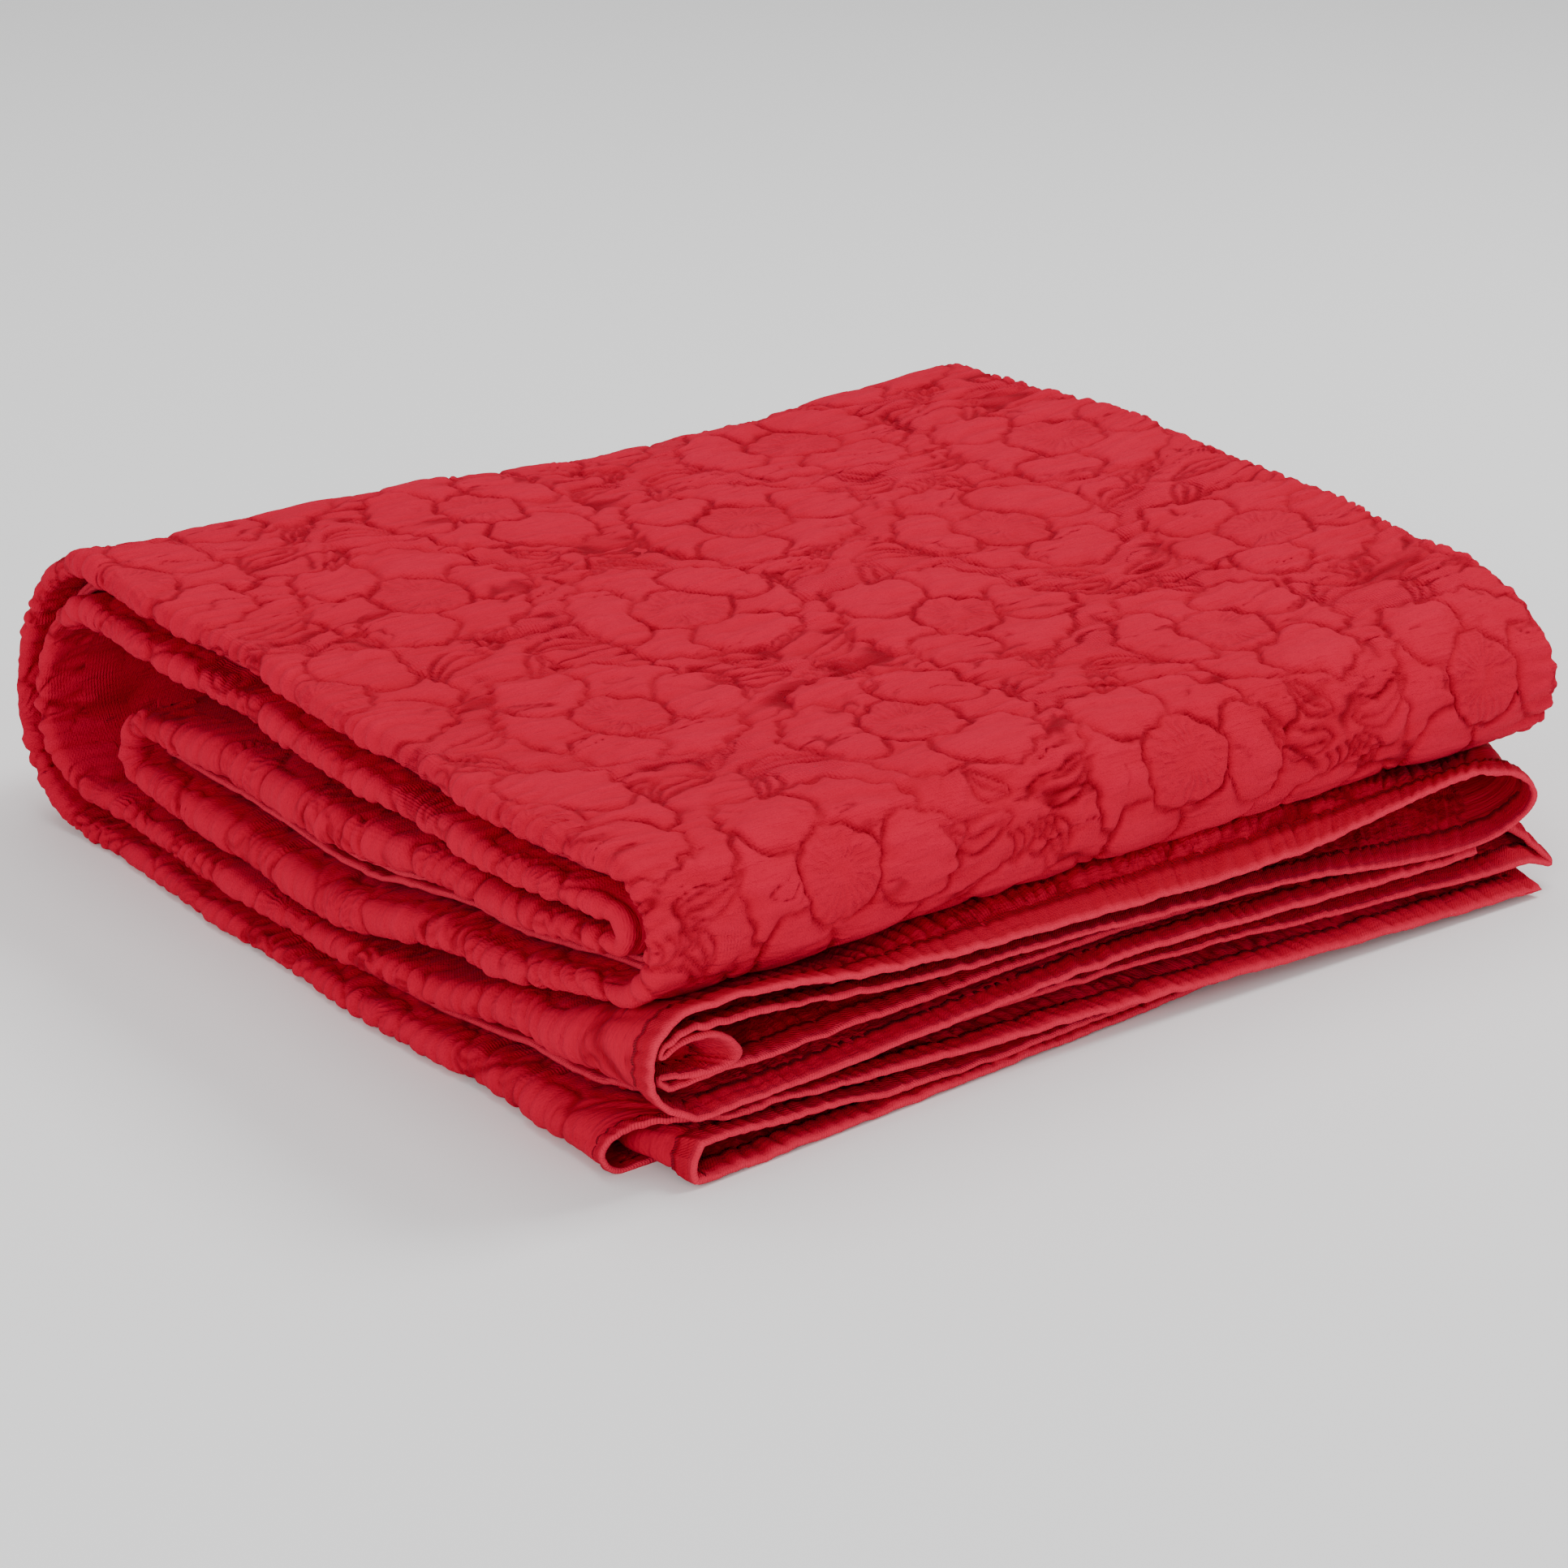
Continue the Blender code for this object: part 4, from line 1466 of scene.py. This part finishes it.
@dataclass(frozen=True)
class Studio:
    """Plain pale floor, soft lights and the camera at the photograph's angle."""

    LAMPS = (
        Lamp("key", (1.25, -0.35, 1.75), 0.7, 25.0),
        Lamp("top", (-0.1, 0.6, 2.1), 1.4, 16.0),
        Lamp("left", (-2.0, -1.1, 0.9), 1.2, 28.0),
        Lamp("front", (0.2, -2.3, 0.35), 1.2, 12.0),
    )

    azimuth: float = -38.48
    elevation: float = 21.29
    distance: float = 1.477
    roll: float = 1.05
    focal_pixels: float = 4830.0
    centre: tuple[float, float] = (988.0, 894.0)
    image_side: float = 1932.0
    aim_height: float = 0.052
    sensor: float = 36.0
    floor_half: float = 6.0
    floor_colour: tuple = (0.93, 0.93, 0.93, 1)
    floor_roughness: float = 0.9
    surround: float = 0.60

    def camera(self) -> None:
        """Puts the camera where the photograph was taken from."""
        azimuth, elevation, roll = (math.radians(v) for v in (self.azimuth, self.elevation, self.roll))
        towards = Vector((
            math.sin(azimuth) * math.cos(elevation),
            -math.cos(azimuth) * math.cos(elevation),
            math.sin(elevation),
        ))
        level = Vector((math.cos(azimuth), math.sin(azimuth), 0))
        upright = level.cross(-towards)
        right = math.cos(roll) * level + math.sin(roll) * upright
        up = -math.sin(roll) * level + math.cos(roll) * upright
        aim = Vector((-BLOCK_MIDDLE[0], -BLOCK_MIDDLE[1], self.aim_height))
        data = bpy.data.cameras.new("camera")
        data.sensor_width = self.sensor
        data.lens = self.focal_pixels * self.sensor / self.image_side
        data.shift_x = (self.image_side / 2 - self.centre[0]) / self.image_side
        data.shift_y = (self.centre[1] - self.image_side / 2) / self.image_side
        camera = bpy.data.objects.new("camera", data)
        turned = Matrix((
            (right.x, up.x, towards.x, 0),
            (right.y, up.y, towards.y, 0),
            (right.z, up.z, towards.z, 0),
            (0, 0, 0, 1),
        ))
        camera.matrix_world = Matrix.Translation(aim + towards * self.distance) @ turned
        bpy.context.scene.collection.objects.link(camera)
        bpy.context.scene.camera = camera

    def floor(self) -> None:
        """A pale floor, plain and wide."""
        mesh = bpy.data.meshes.new("floor")
        half = self.floor_half
        corners = [(-half, -half, 0), (half, -half, 0), (half, half, 0), (-half, half, 0)]
        mesh.from_pydata(corners, [], [(0, 1, 2, 3)])
        material = bpy.data.materials.new("pale floor")
        material.use_nodes = True
        shader = material.node_tree.nodes["Principled BSDF"]
        shader.inputs["Base Color"].default_value = self.floor_colour
        shader.inputs["Roughness"].default_value = self.floor_roughness
        mesh.materials.append(material)
        floor = bpy.data.objects.new("floor", mesh)
        bpy.context.scene.collection.objects.link(floor)

    def lights(self) -> None:
        """Soft lights high on the right, overhead, on the left and low in front, and a pale surround."""
        for name, place, size, power in self.LAMPS:
            data = bpy.data.lights.new(name, "AREA")
            data.size = size
            data.energy = power
            light = bpy.data.objects.new(name, data)
            light.location = place
            light.rotation_euler = (Vector((0, 0, 0.05)) - Vector(place)).to_track_quat("-Z", "Y").to_euler()
            bpy.context.scene.collection.objects.link(light)
        world = bpy.data.worlds.new("surround")
        world.use_nodes = True
        background = world.node_tree.nodes["Background"]
        background.inputs["Color"].default_value = (1, 1, 1, 1)
        background.inputs["Strength"].default_value = self.surround
        bpy.context.scene.world = world

    def build(self) -> None:
        """Sets up the whole studio."""
        self.camera()
        self.floor()
        self.lights()


def main() -> None:
    """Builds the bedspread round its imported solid, then the studio."""
    logging.basicConfig(level=logging.INFO, format="%(message)s")
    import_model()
    Studio().build()
    cloth = Cloth(FoldedSheet(StripPath()), Quilting())
    plain = WashedCotton().make()
    edged = WashedCotton(name="washed red cotton hem", edge_rub_and_light=0.75, twill_depth=0.00010).make()
    Bedspread(cloth, plain, edged).build()


if __name__ == "__main__":
    main()
